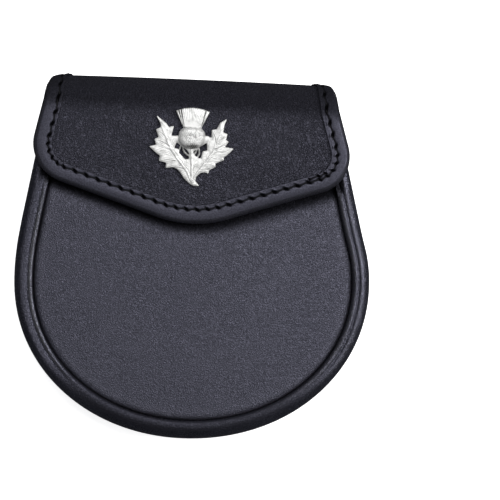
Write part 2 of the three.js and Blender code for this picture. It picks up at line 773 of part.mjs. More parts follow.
// Level and height of the ring's bar: the tab's loop takes the wire, its gap and two layers of leather
const loopRadius = WIRE_RADIUS + GAP + TAB_LEATHER;
const barLevel = BACK_RECESS - GAP - loopRadius;
const barY = tailEndY - GAP - RING_INSIDE_HEIGHT - 2 * WIRE_RADIUS;

function dRing(side) {
  const half = RING_INSIDE_WIDTH / 2 + WIRE_RADIUS;
  const rise = RING_INSIDE_HEIGHT + WIRE_RADIUS;
  const path = new THREE.Path();
  path.moveTo(-half + RING_CORNER, 0);
  path.lineTo(half - RING_CORNER, 0);
  path.absarc(half - RING_CORNER, RING_CORNER, RING_CORNER, -Math.PI / 2, 0, false);
  path.absellipse(0, RING_CORNER, half, rise - RING_CORNER, 0, Math.PI, false, 0);
  path.absarc(-half + RING_CORNER, RING_CORNER, RING_CORNER, Math.PI, 1.5 * Math.PI, false);
  const points = path.getPoints(5).filter((point, i, all) => {
    const next = all[(i + 1) % all.length];
    return point.distanceTo(next) > GAP;
  });
  const ring = closedWire(points, WIRE_RADIUS, 6);
  ring.translate((side * RING_SPACING) / 2, barY, barLevel);
  return ring;
}

// Folded tab in side view: a loop round the ring's bar, narrowing to two layers sewn together
function ringTab(side) {
  const outline = new THREE.Shape();
  const sewn = barLevel + loopRadius - 2 * TAB_LEATHER;
  outline.moveTo(barY, barLevel + loopRadius);
  outline.lineTo(barY - TAB_LENGTH, barLevel + loopRadius);
  outline.lineTo(barY - TAB_LENGTH, sewn);
  outline.lineTo(barY - 2 * loopRadius, sewn);
  outline.lineTo(barY - loopRadius / 3, barLevel - loopRadius);
  outline.absarc(barY, barLevel, loopRadius, -Math.PI / 2, Math.PI / 2, false);
  const loop = new THREE.Path();
  loop.absarc(barY, barLevel, WIRE_RADIUS + GAP, 0, 2 * Math.PI, true);
  outline.holes = [loop];
  const extent = { depth: TAB_WIDTH, bevelEnabled: false, curveSegments: 12 };
  const tab = new THREE.ExtrudeGeometry(outline, extent);
  tab.translate(0, 0, -TAB_WIDTH / 2);
  moved(tab, ({ x, y, z }) => new THREE.Vector3(z + (side * RING_SPACING) / 2, x, y));
  return geometryOf(solidOf(tab));
}

const blackLeather = { color: 0x2c2c34, roughness: 0.55, metalness: 0 };
const castSilver = { color: 0xc9c9cc, roughness: 0.3, metalness: 1 };
const steel = { color: 0xa8a8ad, roughness: 0.35, metalness: 1 };

const pieces = [
  { name: "front_panel", geometry: frontPanel(), finish: blackLeather },
  { name: "gusset", geometry: gusset(), finish: blackLeather },
  { name: "back_panel", geometry: backPanel(), finish: blackLeather },
  { name: "flap", geometry: flap(), finish: blackLeather },
  { name: "flap_binding", geometry: flapBinding(), finish: blackLeather },
  { name: "thistle_badge", geometry: thistleBadge(), finish: castSilver },
  { name: "flap_stud", geometry: flapStud(), finish: steel },
  { name: "ring_tab_left", geometry: ringTab(-1), finish: blackLeather },
  { name: "ring_tab_right", geometry: ringTab(1), finish: blackLeather },
  { name: "d_ring_left", geometry: dRing(-1), finish: steel },
  { name: "d_ring_right", geometry: dRing(1), finish: steel },
];

const sporran = new THREE.Group();
for (const { name, geometry, finish } of pieces) {
  const shape = moved(geometry, skewed);
  shape.computeVertexNormals();
  const mesh = new THREE.Mesh(shape, new THREE.MeshStandardMaterial(finish));
  mesh.name = name;
  sporran.add(mesh);
}

// The origin is under the middle of the whole pouch, on the surface that it lies on
const box = new THREE.Box3().setFromObject(sporran);
const middle = box.getCenter(new THREE.Vector3());
sporran.position.set(-middle.x, -middle.y, -box.min.z);

export default sporran;
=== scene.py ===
"""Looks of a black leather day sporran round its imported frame: leather, stitches, thistle badge and rings."""

import json
import math

import bpy
import numpy as np
from bpy.props import FloatProperty, FloatVectorProperty, PointerProperty
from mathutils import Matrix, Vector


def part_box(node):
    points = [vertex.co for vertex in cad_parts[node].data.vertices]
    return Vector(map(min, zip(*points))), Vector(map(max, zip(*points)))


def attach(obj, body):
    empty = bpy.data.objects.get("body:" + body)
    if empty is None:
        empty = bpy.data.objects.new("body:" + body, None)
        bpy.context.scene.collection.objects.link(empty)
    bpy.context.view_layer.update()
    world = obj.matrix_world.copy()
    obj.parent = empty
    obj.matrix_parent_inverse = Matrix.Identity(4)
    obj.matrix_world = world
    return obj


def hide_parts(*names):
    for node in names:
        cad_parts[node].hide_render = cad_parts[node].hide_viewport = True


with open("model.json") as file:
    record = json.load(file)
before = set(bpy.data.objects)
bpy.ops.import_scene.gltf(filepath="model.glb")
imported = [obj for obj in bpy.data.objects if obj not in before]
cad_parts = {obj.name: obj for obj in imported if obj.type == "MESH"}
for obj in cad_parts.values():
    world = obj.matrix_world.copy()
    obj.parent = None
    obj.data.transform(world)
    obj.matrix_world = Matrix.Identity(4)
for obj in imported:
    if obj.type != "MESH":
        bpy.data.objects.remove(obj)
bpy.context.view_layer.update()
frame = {"nodes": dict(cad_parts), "record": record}

bl_info = {
    "name": "Day sporran pouch",
    "version": (1, 0, 0),
    "blender": (4, 5, 0),
    "location": "View3D > Sidebar > Sporran",
    "description": "Leather, stitches, thistle badge and rings of a day sporran round its frame",
    "category": "Object",
}

# Body of the pouch, seen from the front, in metres
GUSSET_LOW, GUSSET_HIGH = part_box("gusset")
HALF_WIDTH = (GUSSET_HIGH.x - GUSSET_LOW.x) / 2
DEPTH = GUSSET_HIGH.z
WAIST_TO_BOTTOM = 0.0816
WAIST_TO_MOUTH = 0.0915
ROUND_EXPONENT = 2.05
SHOULDER_RADIUS = 0.1
TAPER = math.radians(12)
WAIST_Y = -0.012
MOUTH_Y = WAIST_Y + WAIST_TO_MOUTH

# The whole top is set slightly askew: it drops to the right above the waist
SKEW = math.radians(2.45)
SKEW_LENGTH = 0.032
LIFT = GUSSET_LOW.y - (WAIST_Y - WAIST_TO_BOTTOM)

# Leather, seams and clearances
GAP = 0.0003
BODY_LEATHER = 0.002
ROLL_WIDTH = 0.0094
ROLL_HEIGHT = 0.007
BACK_ROLL_HEIGHT = 0.0085
SIDE_CREASE = 0.0009
FRONT_SEAM = DEPTH - 0.0034
SEAM_ALLOWANCE = 0.0056
BACK_SEAM = 0.0046
BACK_RECESS = 0.006
FRONT_CROWN = 0.0013
FRONT_TOP_Y = MOUTH_Y - 0.0095
END_BULGE = 0.0075
END_BULGE_RUN = 0.024
PANEL_INSET = ROLL_WIDTH + GAP

# Flap, measured to the outer rim of its binding
FLAP_WIDTH = 0.1642
FLAP_LENGTH = 0.0617
FLAP_LEATHER = 0.002
EDGE_SLOPE = math.radians(18.2)
TIP_RADIUS = 0.06
CORNER_RADIUS = 0.02
SIDE_SLOPE = math.radians(14.5)
FLAP_SAG = 0.0015
FOLD_RADIUS = 0.011
BACK_FOLD_RADIUS = 0.009
FOLD_TAPER = math.radians(9)
FOLD_EASE = 0.0026
FOLD_EASE_WIDTH = 0.014
TAIL_LENGTH = 0.018
TAIL_MARGIN = 0.002
SHOULDER_RUN = 0.007
SHOULDER_DROP = 0.0004

# How deep the flap's rim presses into the leather under it, how far out the dent reaches past its flat part,
# and how far from the rim the leather carries a painted shadow of the flap
PRESS_DEPTH = 0.0015
PRESS_FLAT = 0.0018
PRESS_REACH = 0.0035
FLAP_SHADOW_REACH = 0.0039

# How far the seam sits to the right of the middle, and how far the middle of the fold stands out
SEAM_SHIFT = 0.0005
FOLD_CROWN = 0.0006

# Unevenness along the roll, a sum of sine waves: how long each is to one radian, its phase and its share
ROLL_WAVES = [
    {"radian": 0.0043, "phase": 1.1, "share": 1.0},
    {"radian": 0.0071, "phase": 4.0, "share": 1.0},
    {"radian": 0.0167, "phase": 2.3, "share": 1.4},
]
ROLL_WAVE_DEPTH = 0.00012

# Where the stitches run back beside themselves on the right corner, and how far in
TACK_FROM_X, TACK_TO_X, TACK_BELOW_S = 0.063, 0.0755, 0.056
TACK_SHIFT = 0.0017

# Stitch holes in the strip, the groove that the thread lies in, and the swellings round them
HOLE_LENGTH = 0.0014
HOLE_WIDTH = 0.0007
GROOVE_WIDTH = 0.0003
RIM_SWELL = 0.00014
LIP_SWELL = 0.00034

# How far short of its hole a thread starts, and how deep its ends dive
FLAP_STITCH_SHORT, FLAP_STITCH_DIVE = 0.0004, 0.0009
TAIL_STITCH_SHORT, TAIL_STITCH_DIVE = 0.0006, 0.0007
TAB_STITCH_SHORT, TAB_STITCH_DIVE = 0.0003, 0.0006
TAIL_STITCH_ROWS = (0.0035, 0.0095)

# Strip round the flap's edge
BINDING_WIDTH = 0.0093
BINDING_LEATHER = 0.0009
BINDING_GAP = 0.00025
RIM_ROUND = 0.0019
RIM_CROWN = 0.0023
RIM_HALF = FLAP_LEATHER / 2 + BINDING_GAP + BINDING_LEATHER

# Levels and lengths along the folded flap
FLAP_LEVEL = DEPTH + GAP + BINDING_LEATHER + BINDING_GAP
TAIL_LEVEL = BACK_RECESS - GAP
FOLD_Y = MOUTH_Y + GAP
TIP_Y = FOLD_Y - FLAP_LENGTH
FOLD_ARC = FOLD_RADIUS * math.pi / 2
BACK_FOLD_ARC = BACK_FOLD_RADIUS * math.pi / 2
FOLD_DROP = FLAP_LEVEL - TAIL_LEVEL - FOLD_RADIUS - BACK_FOLD_RADIUS
BACK_FOLD_START = FOLD_Y + FOLD_ARC + FOLD_DROP
TAIL_START = BACK_FOLD_START + BACK_FOLD_ARC
TAIL_END_Y = FOLD_Y + FOLD_RADIUS - BACK_FOLD_RADIUS - TAIL_LENGTH

# Thistle badge
BADGE_HALF_WIDTH = 0.02165
BADGE_HALF_HEIGHT = 0.0202
BADGE_PLATE = 0.0017
BADGE_RIB = 0.0009
BADGE_BULB = 0.0054
BADGE_TUFT = 0.003
BADGE_BELOW_FOLD = 0.0217
BADGE_CELL = 0.00016
STAMEN_RADIUS = 0.00048
POST_RADIUS = 0.0015
POST_REACH = 0.0014
MIDRIB_WIDTH = 0.0005
VEIN_WIDTH = 0.00022
HATCH_PITCH = 0.0008
FINE_RELIEF = 0.00006
SCALE_RELIEF = 0.00036
LOWEST_RELIEF = 0.0006

# Rings on the back and the folded tabs that hold them
RING_SPACING = 0.084
RING_INSIDE_WIDTH = 0.019
RING_INSIDE_HEIGHT = 0.011
RING_CORNER = 0.002
WIRE_RADIUS = 0.0012
TAB_WIDTH = 0.015
TAB_LENGTH = 0.015
TAB_LEATHER = 0.001
LOOP_RADIUS = WIRE_RADIUS + GAP + TAB_LEATHER
BAR_LEVEL = BACK_RECESS - GAP - LOOP_RADIUS
BAR_Y = TAIL_END_Y - GAP - RING_INSIDE_HEIGHT - 2 * WIRE_RADIUS

# The photograph's frame: its pixels, the real size of one, and the middle of the view over the pouch
PHOTO_PIXELS = 500
PIXEL_SIZE = 0.00052
VIEW_CENTRE = (0.0303, 0.0031, 0.03)

# Stage
SOFTBOX_X, SOFTBOX_Y = 0.24, 0.4
SIDE_LIGHT_PLACE = (0.9, 0.1, 0.75)
SIDE_LIGHT_SIZE = 0.45
FLOOR_COLOUR = (0.9, 0.9, 0.9, 1)
FLOOR_GLOW = 0.88
FLOOR_LEVEL = -0.00005
ROOM_LIGHT = (0.055, 0.057, 0.066, 1)
ROOM_SEEN = (0.95, 0.95, 0.95, 1)
WHITE = (1, 1, 1, 1)

# Columns and rows of the meshes
GUSSET_COLUMNS, GUSSET_ROWS = 240, 96
PANEL_COLUMNS, TURN_ROWS, FRONT_ROWS, BACK_ROWS = 200, 16, 60, 24
FLAP_COLUMNS, STRIP_COLUMNS = 300, 780
POST_STATIONS = 8

# Steps of the quarter circle that rounds a cut edge
EDGE_TURNS = (30, 60, 90)

# Front roll from the seam to the side: across and below are shares of the roll's width and height, faces is
# the way that the leather faces, in degrees up from straight outwards, and the last column says how much paler
# it is, partly from wear and partly as a painted highlight on the crests that catch the light.
FRONT_ROLL = [
    {"across": 0.96, "below": 0.18, "faces": 145, "worn": 0.2},
    {"across": 0.9, "below": 0.04, "faces": 120, "worn": 0.9},
    {"across": 0.8, "below": 0.03, "faces": 90, "worn": 1.0},
    {"across": 0.67, "below": 0.17, "faces": 86, "worn": 0.0},
    {"across": 0.55, "below": 0.09, "faces": 98, "worn": 0.1},
    {"across": 0.43, "below": 0.03, "faces": 86, "worn": 0.4},
    {"across": 0.25, "below": 0.14, "faces": 56, "worn": 0.1},
    {"across": 0.08, "below": 0.46, "faces": 24, "worn": 0.0},
    {"across": 0.0, "below": 1.0, "faces": 0, "worn": 0.0},
]

# The same roll round the bottom, where its ridge has faded out
BOTTOM_ROLL = [
    {"across": 0.96, "below": 0.2, "faces": 142, "worn": 0.0},
    {"across": 0.88, "below": 0.06, "faces": 108, "worn": 0.2},
    {"across": 0.78, "below": 0.02, "faces": 93, "worn": 0.4},
    {"across": 0.66, "below": 0.01, "faces": 90, "worn": 0.4},
    {"across": 0.56, "below": 0.03, "faces": 83, "worn": 0.2},
    {"across": 0.45, "below": 0.11, "faces": 64, "worn": 0.0},
    {"across": 0.28, "below": 0.33, "faces": 44, "worn": 0.0},
    {"across": 0.1, "below": 0.66, "faces": 22, "worn": 0.0},
    {"across": 0.0, "below": 1.0, "faces": 0, "worn": 0.0},
]

# Back roll from the side to the seam, pressed flat where the pouch lies on it
BACK_ROLL = [
    {"across": 0.0, "above": 1.0, "faces": 0, "worn": 0.0},
    {"across": 0.07, "above": 0.4, "faces": -22, "worn": 0.0},
    {"across": 0.2, "above": 0.11, "faces": -50, "worn": 0.3},
    {"across": 0.4, "above": 0.0, "faces": -86, "worn": 0.8},
    {"across": 0.74, "above": 0.0, "faces": -94, "worn": 0.5},
    {"across": 0.92, "above": 0.18, "faces": -135, "worn": 0.1},
]

# Front panel's turned edge, from its lip to its flat: in from the seam and down from the flat, as shares of
# the leather's thickness
PANEL_TURN = [
    {"outer_in": 0.0, "outer_down": 2.8, "inner_in": 1.0, "inner_down": 2.8},
    {"outer_in": 0.05, "outer_down": 0.9, "inner_in": 1.05, "inner_down": 1.5},
    {"outer_in": 0.4, "outer_down": 0.4, "inner_in": 1.3, "inner_down": 1.22},
    {"outer_in": 0.95, "outer_down": 0.14, "inner_in": 1.6, "inner_down": 1.09},
    {"outer_in": 1.6, "outer_down": 0.03, "inner_in": 2.0, "inner_down": 1.02},
    {"outer_in": 2.3, "outer_down": 0.0, "inner_in": 2.5, "inner_down": 1.0},
]

# Outline of the badge's leaves and stem, clockwise from the left leaf's tip. In this and the tables below,
# across is a share of half the badge's width and up a share of half its height.
LEAVES = [
    (-0.86, 0.75), (-0.75, 0.66), (-0.63, 0.56), (-0.56, 0.465), (-0.45, 0.5), (-0.5, 0.24),
    (-0.2, 0.28), (0.2, 0.28), (0.37, 0.28), (0.485, 0.22), (0.475, 0.44), (0.59, 0.46),
    (0.67, 0.63), (0.81, 0.73), (0.76, 0.6), (0.735, 0.39), (0.84, 0.35), (0.81, 0.2),
    (0.875, 0.155), (0.78, 0.015), (1.0, -0.015), (0.9, -0.13), (0.77, -0.25), (0.78, -0.31),
    (0.58, -0.41), (0.59, -0.49), (0.44, -0.58), (0.42, -0.67), (0.35, -0.64), (0.24, -0.66),
    (0.14, -0.76), (0.115, -0.88), (0.21, -1.0), (0.08, -0.995), (-0.015, -0.94), (-0.14, -0.82),
    (-0.26, -0.64), (-0.34, -0.57), (-0.43, -0.545), (-0.59, -0.57), (-0.58, -0.44), (-0.76, -0.39),
    (-0.735, -0.27), (-0.85, -0.18), (-1.0, -0.045), (-0.84, 0.0), (-0.88, 0.145), (-0.785, 0.2),
    (-0.855, 0.395), (-0.74, 0.46), (-0.755, 0.57),
]

# Openings between the leaves and the stem
WINDOWS = [
    [
        (-0.365, 0.105), (-0.425, -0.07), (-0.33, -0.075), (-0.29, -0.185), (-0.15, -0.34),
        (-0.045, -0.335), (-0.04, -0.18), (-0.1, -0.085), (-0.255, 0.025),
    ],
    [
        (0.37, 0.135), (0.39, -0.1), (0.28, -0.115), (0.24, -0.305),
        (0.175, -0.295), (0.05, -0.21), (0.04, -0.12), (0.21, 0.01),
    ],
]

# Midribs of the two leaves and the stem, from the top down
MIDRIBS = [
    [(-0.84, 0.72), (-0.66, 0.32), (-0.5, -0.06), (-0.32, -0.33), (-0.09, -0.63), (0.05, -0.93)],
    [(0.8, 0.7), (0.66, 0.3), (0.52, -0.14), (0.34, -0.42), (0.18, -0.66), (0.06, -0.9)],
    [(0.0, -0.02), (0.02, -0.35), (0.04, -0.85)],
]

# Thin curled stamens that cross the openings, lower than the leaves
STAMENS = [
    [(-0.36, -0.2), (-0.312, -0.171), (-0.293, -0.094), (-0.25, 0.02)],
    [(-0.21, 0.01), (-0.198, -0.07), (-0.165, -0.15), (-0.09, -0.22), (-0.02, -0.24)],
    [(0.03, -0.23), (0.085, -0.18), (0.12, -0.11), (0.135, -0.03)],
    [(0.13, -0.31), (0.165, -0.25), (0.195, -0.17), (0.18, -0.06), (0.15, -0.01)],
]

# Bulb and tuft of the thistle, and where its two posts stand
BULB = {"across": 0.0, "up": 0.22, "half_width": 0.325, "half_height": 0.285}
TUFT = {"foot": 0.47, "head": 0.9, "crown": 0.095, "foot_half": 0.215, "head_half": 0.41, "bristles": 17}
# Grooves of the tuft: the side at its foot and at its head
TUFT_GROOVES = [(-0.95, -0.82), (-0.88, -0.67), (0.93, 0.73)]
POSTS = [(0.0, 0.3), (0.02, -0.5)]

SLOT_COLOURS = {row["slot"]: row["base_color"] for row in frame["record"]["materials"]}


def leather_dye(slot, share):
    """Dye under the gloss: a share of the colour that the record gives the finish."""
    return tuple(share * value for value in SLOT_COLOURS[slot])


def length_property(name, description, default, low, high, precision=4):
    """A length in metres that a group below holds."""
    return FloatProperty(
        name=name, description=description, default=default, min=low, max=high, precision=precision,
        unit="LENGTH",
    )


def power_property(name, description, default):
    """A light's power in watts."""
    return FloatProperty(name=name, description=description, default=default, min=0, max=500, unit="POWER")


def colour_property(name, description, default):
    """A colour that a group below holds."""
    return FloatVectorProperty(
        name=name, description=description, default=default, min=0, max=1, subtype="COLOR",
    )


class SporranLeather(bpy.types.PropertyGroup):
    """Leather of the pouch: its thickness, grain and dyes."""

    wall: length_property("Body leather", "Thickness of the pouch's leather", BODY_LEATHER, 0.001, 0.003)
    grain: length_property("Grain", "Size of one fine grain of the panel and flap", 0.00068, 0.0002, 0.003)
    pebble: length_property("Pebble", "Size of one pebble of the gusset's leather", 0.0013, 0.0005, 0.004)
    panel_dye: colour_property(
        "Panel dye", "Colour of the front and back panels", leather_dye("panel_leather", 0.26)
    )
    flap_dye: colour_property("Flap dye", "Colour of the flap", leather_dye("flap_leather", 0.24))
    gusset_dye: colour_property(
        "Gusset dye", "Colour of the rolled gusset", leather_dye("gusset_leather", 0.25)
    )
    strip_dye: colour_property(
        "Strip dye", "Colour of the strip round the flap and of the tabs",
        leather_dye("binding_leather", 0.26),
    )


class SporranStitches(bpy.types.PropertyGroup):
    """Stitches of the flap, its tail and the ring tabs."""

    pitch: length_property("Pitch", "Length of one stitch on the flap", 0.0063, 0.003, 0.012)
    inset: length_property("Inset", "How far in from the rim the stitches run", 0.0071, 0.004, 0.0085)
    thread: length_property("Thread", "Thickness of the waxed thread", 0.0006, 0.0004, 0.0015)
    slant: FloatProperty(
        name="Slant", description="Turn of each stitch hole against the line", default=math.radians(24),
        min=0, max=math.radians(60), unit="ROTATION",
    )
    lean: length_property(
        "Lean", "How far each stitch crosses over its line, to either side", 0.00042, 0, 0.001, 5
    )
    pull: length_property("Pull", "How deep the thread pulls the leather in", 0.0007, 0, 0.00075, 5)


class SporranMetal(bpy.types.PropertyGroup):
    """Badge and rings."""

    silver: colour_property("Silver", "Colour of the badge where it is bright", (0.56, 0.56, 0.55))
    tarnish: colour_property("Tarnish", "Colour of the badge in its recesses", (0.045, 0.045, 0.042))
    steel: colour_property("Steel", "Colour of the rings and the stud", tuple(SLOT_COLOURS["ring_metal"]))
    veins: length_property("Veins", "Depth of the veins cut into the leaves", 0.0002, 0, 0.001, 5)


class SporranStage(bpy.types.PropertyGroup):
    """Floor, lights and camera."""

    floor: length_property("Floor", "Side of the square floor", 6.0, 1, 20, 2)
    camera_height: length_property("Camera height", "Camera above the pouch", 2.4, 0.5, 10, 2)
    softbox_width: length_property(
        "Softbox width", "Width of the light overhead, from left to right", 1.5, 0.2, 5, 2
    )
    softbox_length: length_property(
        "Softbox length", "Length of the light overhead, from bottom to top", 0.85, 0.2, 5, 2
    )
    softbox_height: length_property("Softbox height", "Height of the light overhead", 1.2, 0.3, 5, 2)
    softbox_power: power_property("Softbox power", "Power of the light overhead", 23.0)
    side_power: power_property("Side power", "Power of the light from the right", 7.0)


# Shared shapes


def smoothstep(value, low, high):
    """0 below low, 1 above high and 3t^2 - 2t^3 between them."""
    share = np.clip((value - low) / (high - low), 0, 1)
    return share * share * (3 - 2 * share)


def bell(value, width):
    """exp(-(value / width)^2): 1 at nought, and near nothing past twice the width."""
    return np.exp(-((value / width) ** 2))


def lerp(low, high, share):
    return low + (high - low) * share


def line_run(line):
    """Length along a line of points at each of them."""
    return np.concatenate([[0], np.cumsum(np.linalg.norm(np.diff(line[:, :2], axis=0), axis=1))])


def evenly(line, count):
    """The same line with count points at equal lengths. Columns past the second are carried along."""
    run = line_run(line)
    at = np.linspace(0, run[-1], count)
    return np.column_stack([np.interp(at, run, column) for column in line.T])


def spline(points, count):
    """Cubic Hermite curve through points, which takes its slopes from their neighbours."""
    points = np.asarray(points, float)
    run = line_run(points)
    slopes = np.gradient(points, run, axis=0)
    at = np.linspace(0, run[-1], count)
    k = np.clip(np.searchsorted(run, at, side="right") - 1, 0, len(run) - 2)
    step = (run[k + 1] - run[k])[:, None]
    u = (at - run[k])[:, None] / step
    return (
        points[k] * (1 + 2 * u) * (1 - u) ** 2
        + slopes[k] * step * u * (1 - u) ** 2
        + points[k + 1] * u**2 * (3 - 2 * u)
        + slopes[k + 1] * step * u**2 * (u - 1)
    )


def both_sides(right):
    """A right half line x, y, outward x, outward y joined to its mirror image: left end to right end."""
    left = right * np.array([-1, 1, -1, 1])
    return np.vstack([left, right[-2::-1]])


def body_half(top_y):
    """Right half of the body's outline down to the bottom, with the outward direction: a straight taper that
    touches a shoulder arc, then a superellipse quarter x = W cos^(2/n), y = -H sin^(2/n)."""
    turn = np.linspace(TAPER, 0, 40)
    arc = np.column_stack([
        HALF_WIDTH - SHOULDER_RADIUS * (1 - np.cos(turn)),
        WAIST_Y + SHOULDER_RADIUS * np.sin(turn),
        np.cos(turn),
        np.sin(turn),
    ])
    y = np.linspace(top_y, arc[0, 1], 40)
    taper = np.column_stack([
        arc[0, 0] - (y - arc[0, 1]) * math.tan(TAPER),
        y,
        np.full_like(y, math.cos(TAPER)),
        np.full_like(y, math.sin(TAPER)),
    ])
    turn = np.linspace(0, math.pi / 2, 500)
    across = np.abs(np.cos(turn)) ** (2 / ROUND_EXPONENT)
    down = np.sin(turn) ** (2 / ROUND_EXPONENT)
    across[-1] = 0
    outward = np.column_stack([
        across ** (ROUND_EXPONENT - 1) / HALF_WIDTH,
        -(down ** (ROUND_EXPONENT - 1)) / WAIST_TO_BOTTOM,
    ])
    outward /= np.linalg.norm(outward, axis=1, keepdims=True)
    quarter = np.column_stack([HALF_WIDTH * across, WAIST_Y - WAIST_TO_BOTTOM * down, outward])
    return np.vstack([taper[:-1], arc[:-1], quarter])


def body_path(top_y, count):
    """Evenly spaced places on the body's outline from the left top round to the right top."""
    return both_sides(evenly(body_half(top_y), count))


def corner_centre():
    """Centre of the flap's rounded corner, which touches the sloping lower edge and the widest line."""
    tip_side = TIP_RADIUS * math.sin(EDGE_SLOPE)
    tip_rise = TIP_RADIUS * (1 - math.cos(EDGE_SLOPE))
    x = FLAP_WIDTH / 2 - CORNER_RADIUS
    rise = (CORNER_RADIUS + (x - tip_side) * math.sin(EDGE_SLOPE)) / math.cos(EDGE_SLOPE)
    return x, TIP_Y + tip_rise + rise


def fold_half(s):
    """Half width of the flap's rim past the fold line: a slow taper, then in to the tail on the back arc."""
    centre_x, centre_y = corner_centre()
    corner_x = centre_x + CORNER_RADIUS * math.cos(SIDE_SLOPE)
    corner_y = centre_y + CORNER_RADIUS * math.sin(SIDE_SLOPE)
    start = corner_x - (FOLD_Y - corner_y) * math.tan(SIDE_SLOPE)
    taper = start - (np.minimum(s, BACK_FOLD_START) - FOLD_Y) * math.tan(FOLD_TAPER)
    tail = body_half(TAIL_END_Y)[0, 0] - ROLL_WIDTH - TAIL_MARGIN
    return lerp(taper, tail, smoothstep(s, BACK_FOLD_START, TAIL_START))


def rim_half():
    """Right half of the flap's rim in flat terms, from the fold line down to the tip, with the outward
    direction: a corner arc, a straight sloping edge and a tip arc, each touching the next."""
    centre_x, centre_y = corner_centre()
    turn = np.linspace(SIDE_SLOPE, EDGE_SLOPE - math.pi / 2, 80)
    normal = np.column_stack([np.cos(turn), np.sin(turn)])
    corner = np.column_stack([np.array([centre_x, centre_y]) + CORNER_RADIUS * normal, normal])
    side = np.array([corner[0, 0] - (FOLD_Y - corner[0, 1]) * math.tan(SIDE_SLOPE), FOLD_Y])
    start = np.concatenate([side, normal[0]])[None]
    turn = np.linspace(EDGE_SLOPE, 0, 40)
    normal = np.column_stack([np.sin(turn), -np.cos(turn)])
    tip = np.column_stack([np.array([0, TIP_Y + TIP_RADIUS]) + TIP_RADIUS * normal, normal])
    return np.vstack([start, corner, tip])


def strip_path(count):
    """Evenly spaced places on the rim that the strip binds, from the left back of the fold, round the tip, to
    the right back: x and s in flat terms, the outward direction, and the length along."""
    s = np.linspace(BACK_FOLD_START, FOLD_Y, 60)
    past = np.column_stack([fold_half(s), s, np.ones_like(s), np.zeros_like(s)])
    path = evenly(both_sides(np.vstack([past[:-1], rim_half()])), count)
    path[:, 2:] /= np.linalg.norm(path[:, 2:], axis=1, keepdims=True)
    return path, line_run(path)


def folded(x, s, h):
    """Flat flap to folded flap: x across, s along, h up from the inner face. Up to the fold line s is y, then
    the leather turns down over the front arc, a straight drop and the back arc, and ends in the tail."""
    x, s, h = np.broadcast_arrays(np.asarray(x, float), s, h)
    between = np.maximum(0, 1 - (x / (HALF_WIDTH - 2 * ROLL_WIDTH)) ** 2)
    sag = FLAP_SAG * between * (1 - smoothstep(s, TIP_Y, FOLD_Y))
    near_edge = np.maximum(0, (np.abs(x) - fold_half(s) + FOLD_EASE_WIDTH) / FOLD_EASE_WIDTH)
    ease = FOLD_EASE * near_edge**2 * np.where(x > 0, 0.6, 1.0)
    front_turn = np.clip((s - FOLD_Y) / FOLD_ARC, 0, 1) * math.pi / 2
    back_turn = np.clip((s - BACK_FOLD_START) / BACK_FOLD_ARC, 0, 1) * math.pi / 2
    drop = np.clip(s - FOLD_Y - FOLD_ARC, 0, FOLD_DROP)
    tail = np.maximum(0, s - TAIL_START)
    front_y = FOLD_Y + (FOLD_RADIUS + h - ease) * np.sin(front_turn)
    front_z = FLAP_LEVEL - FOLD_RADIUS + (FOLD_RADIUS + h) * np.cos(front_turn) - drop
    back_middle = FOLD_Y + FOLD_RADIUS - BACK_FOLD_RADIUS
    back_y = back_middle + (BACK_FOLD_RADIUS + h - ease) * np.cos(back_turn) - tail
    back_z = TAIL_LEVEL + BACK_FOLD_RADIUS - (BACK_FOLD_RADIUS + h) * np.sin(back_turn)
    crown = FOLD_CROWN * between * smoothstep(s, FOLD_Y, FOLD_Y + FOLD_ARC)
    front_y, back_y = front_y + crown, back_y + crown * (1 - smoothstep(s, BACK_FOLD_START, TAIL_START))
    shoulder = SHOULDER_DROP * np.clip((s - FOLD_Y + SHOULDER_RUN) / SHOULDER_RUN, 0, 1) ** 2
    front_z = front_z - shoulder * np.cos(front_turn)
    flat = s <= FOLD_Y
    y = np.where(flat, s, np.where(back_turn > 0, back_y, front_y))
    z = np.where(flat, FLAP_LEVEL + h - sag - shoulder, np.where(back_turn > 0, back_z, front_z))
    return np.stack([x, y, z], axis=-1)


def past_flap(x, y):
    """Distance from the flap's rim, in flat terms; negative under the flap."""
    rim = both_sides(rim_half())[::3, :2]
    return outline_distance(np.stack(np.broadcast_arrays(x, y), axis=-1), rim)


def painted_flap_shadow(away):
    """Painted shadow of the flap's rim on the leather beside it: full under the rim and a little past it, then
    dying away as exp(-(distance / reach)^2)."""
    return bell(np.maximum(away - PRESS_FLAT, 0), FLAP_SHADOW_REACH)


def pressed(away):
    """How deep the flap has pressed in the leather: fully under it and a little past it, then dying away as
    exp(-(distance / reach)^2)."""
    return PRESS_DEPTH * bell(np.maximum(away - PRESS_FLAT, 0), PRESS_REACH)


def settled(places):
    """From the pouch's own terms to the frame: the top set askew, and the whole lifted to its origin."""
    places = np.array(places, float).reshape(-1, 3)
    share = smoothstep(places[:, 1], WAIST_Y, WAIST_Y + SKEW_LENGTH)
    places[:, 1] += LIFT - places[:, 0] * math.tan(SKEW) * share
    return places


# Meshes


def grid_triangles(columns, rows):
    """Triangles of a grid whose corners are numbered row by row in each column."""
    a = (np.arange(columns - 1)[:, None] * rows + np.arange(rows - 1)[None]).ravel()
    b, c, d = a + rows, a + rows + 1, a + 1
    return np.concatenate([np.column_stack([a, b, c]), np.column_stack([a, c, d])])


def welded(corners, triangles, marks):
    """Merges corners that share a place, and drops the triangles that this leaves empty."""
    keys = np.round(corners * 1e7).astype(np.int64)
    _, first, back = np.unique(keys, axis=0, return_index=True, return_inverse=True)
    triangles = back.reshape(-1)[triangles]
    a, b, c = triangles.T
    whole = (a != b) & (b != c) & (a != c)
    return corners[first], triangles[whole], {name: values[first] for name, values in marks.items()}


def outward_facing(corners, triangles):
    """The same triangles, turned round if the body's signed volume is negative."""
    a, b, c = corners[triangles.T]
    volume = np.einsum("ij,ij->", a, np.cross(b, c))
    return triangles[:, ::-1] if volume < 0 else triangles


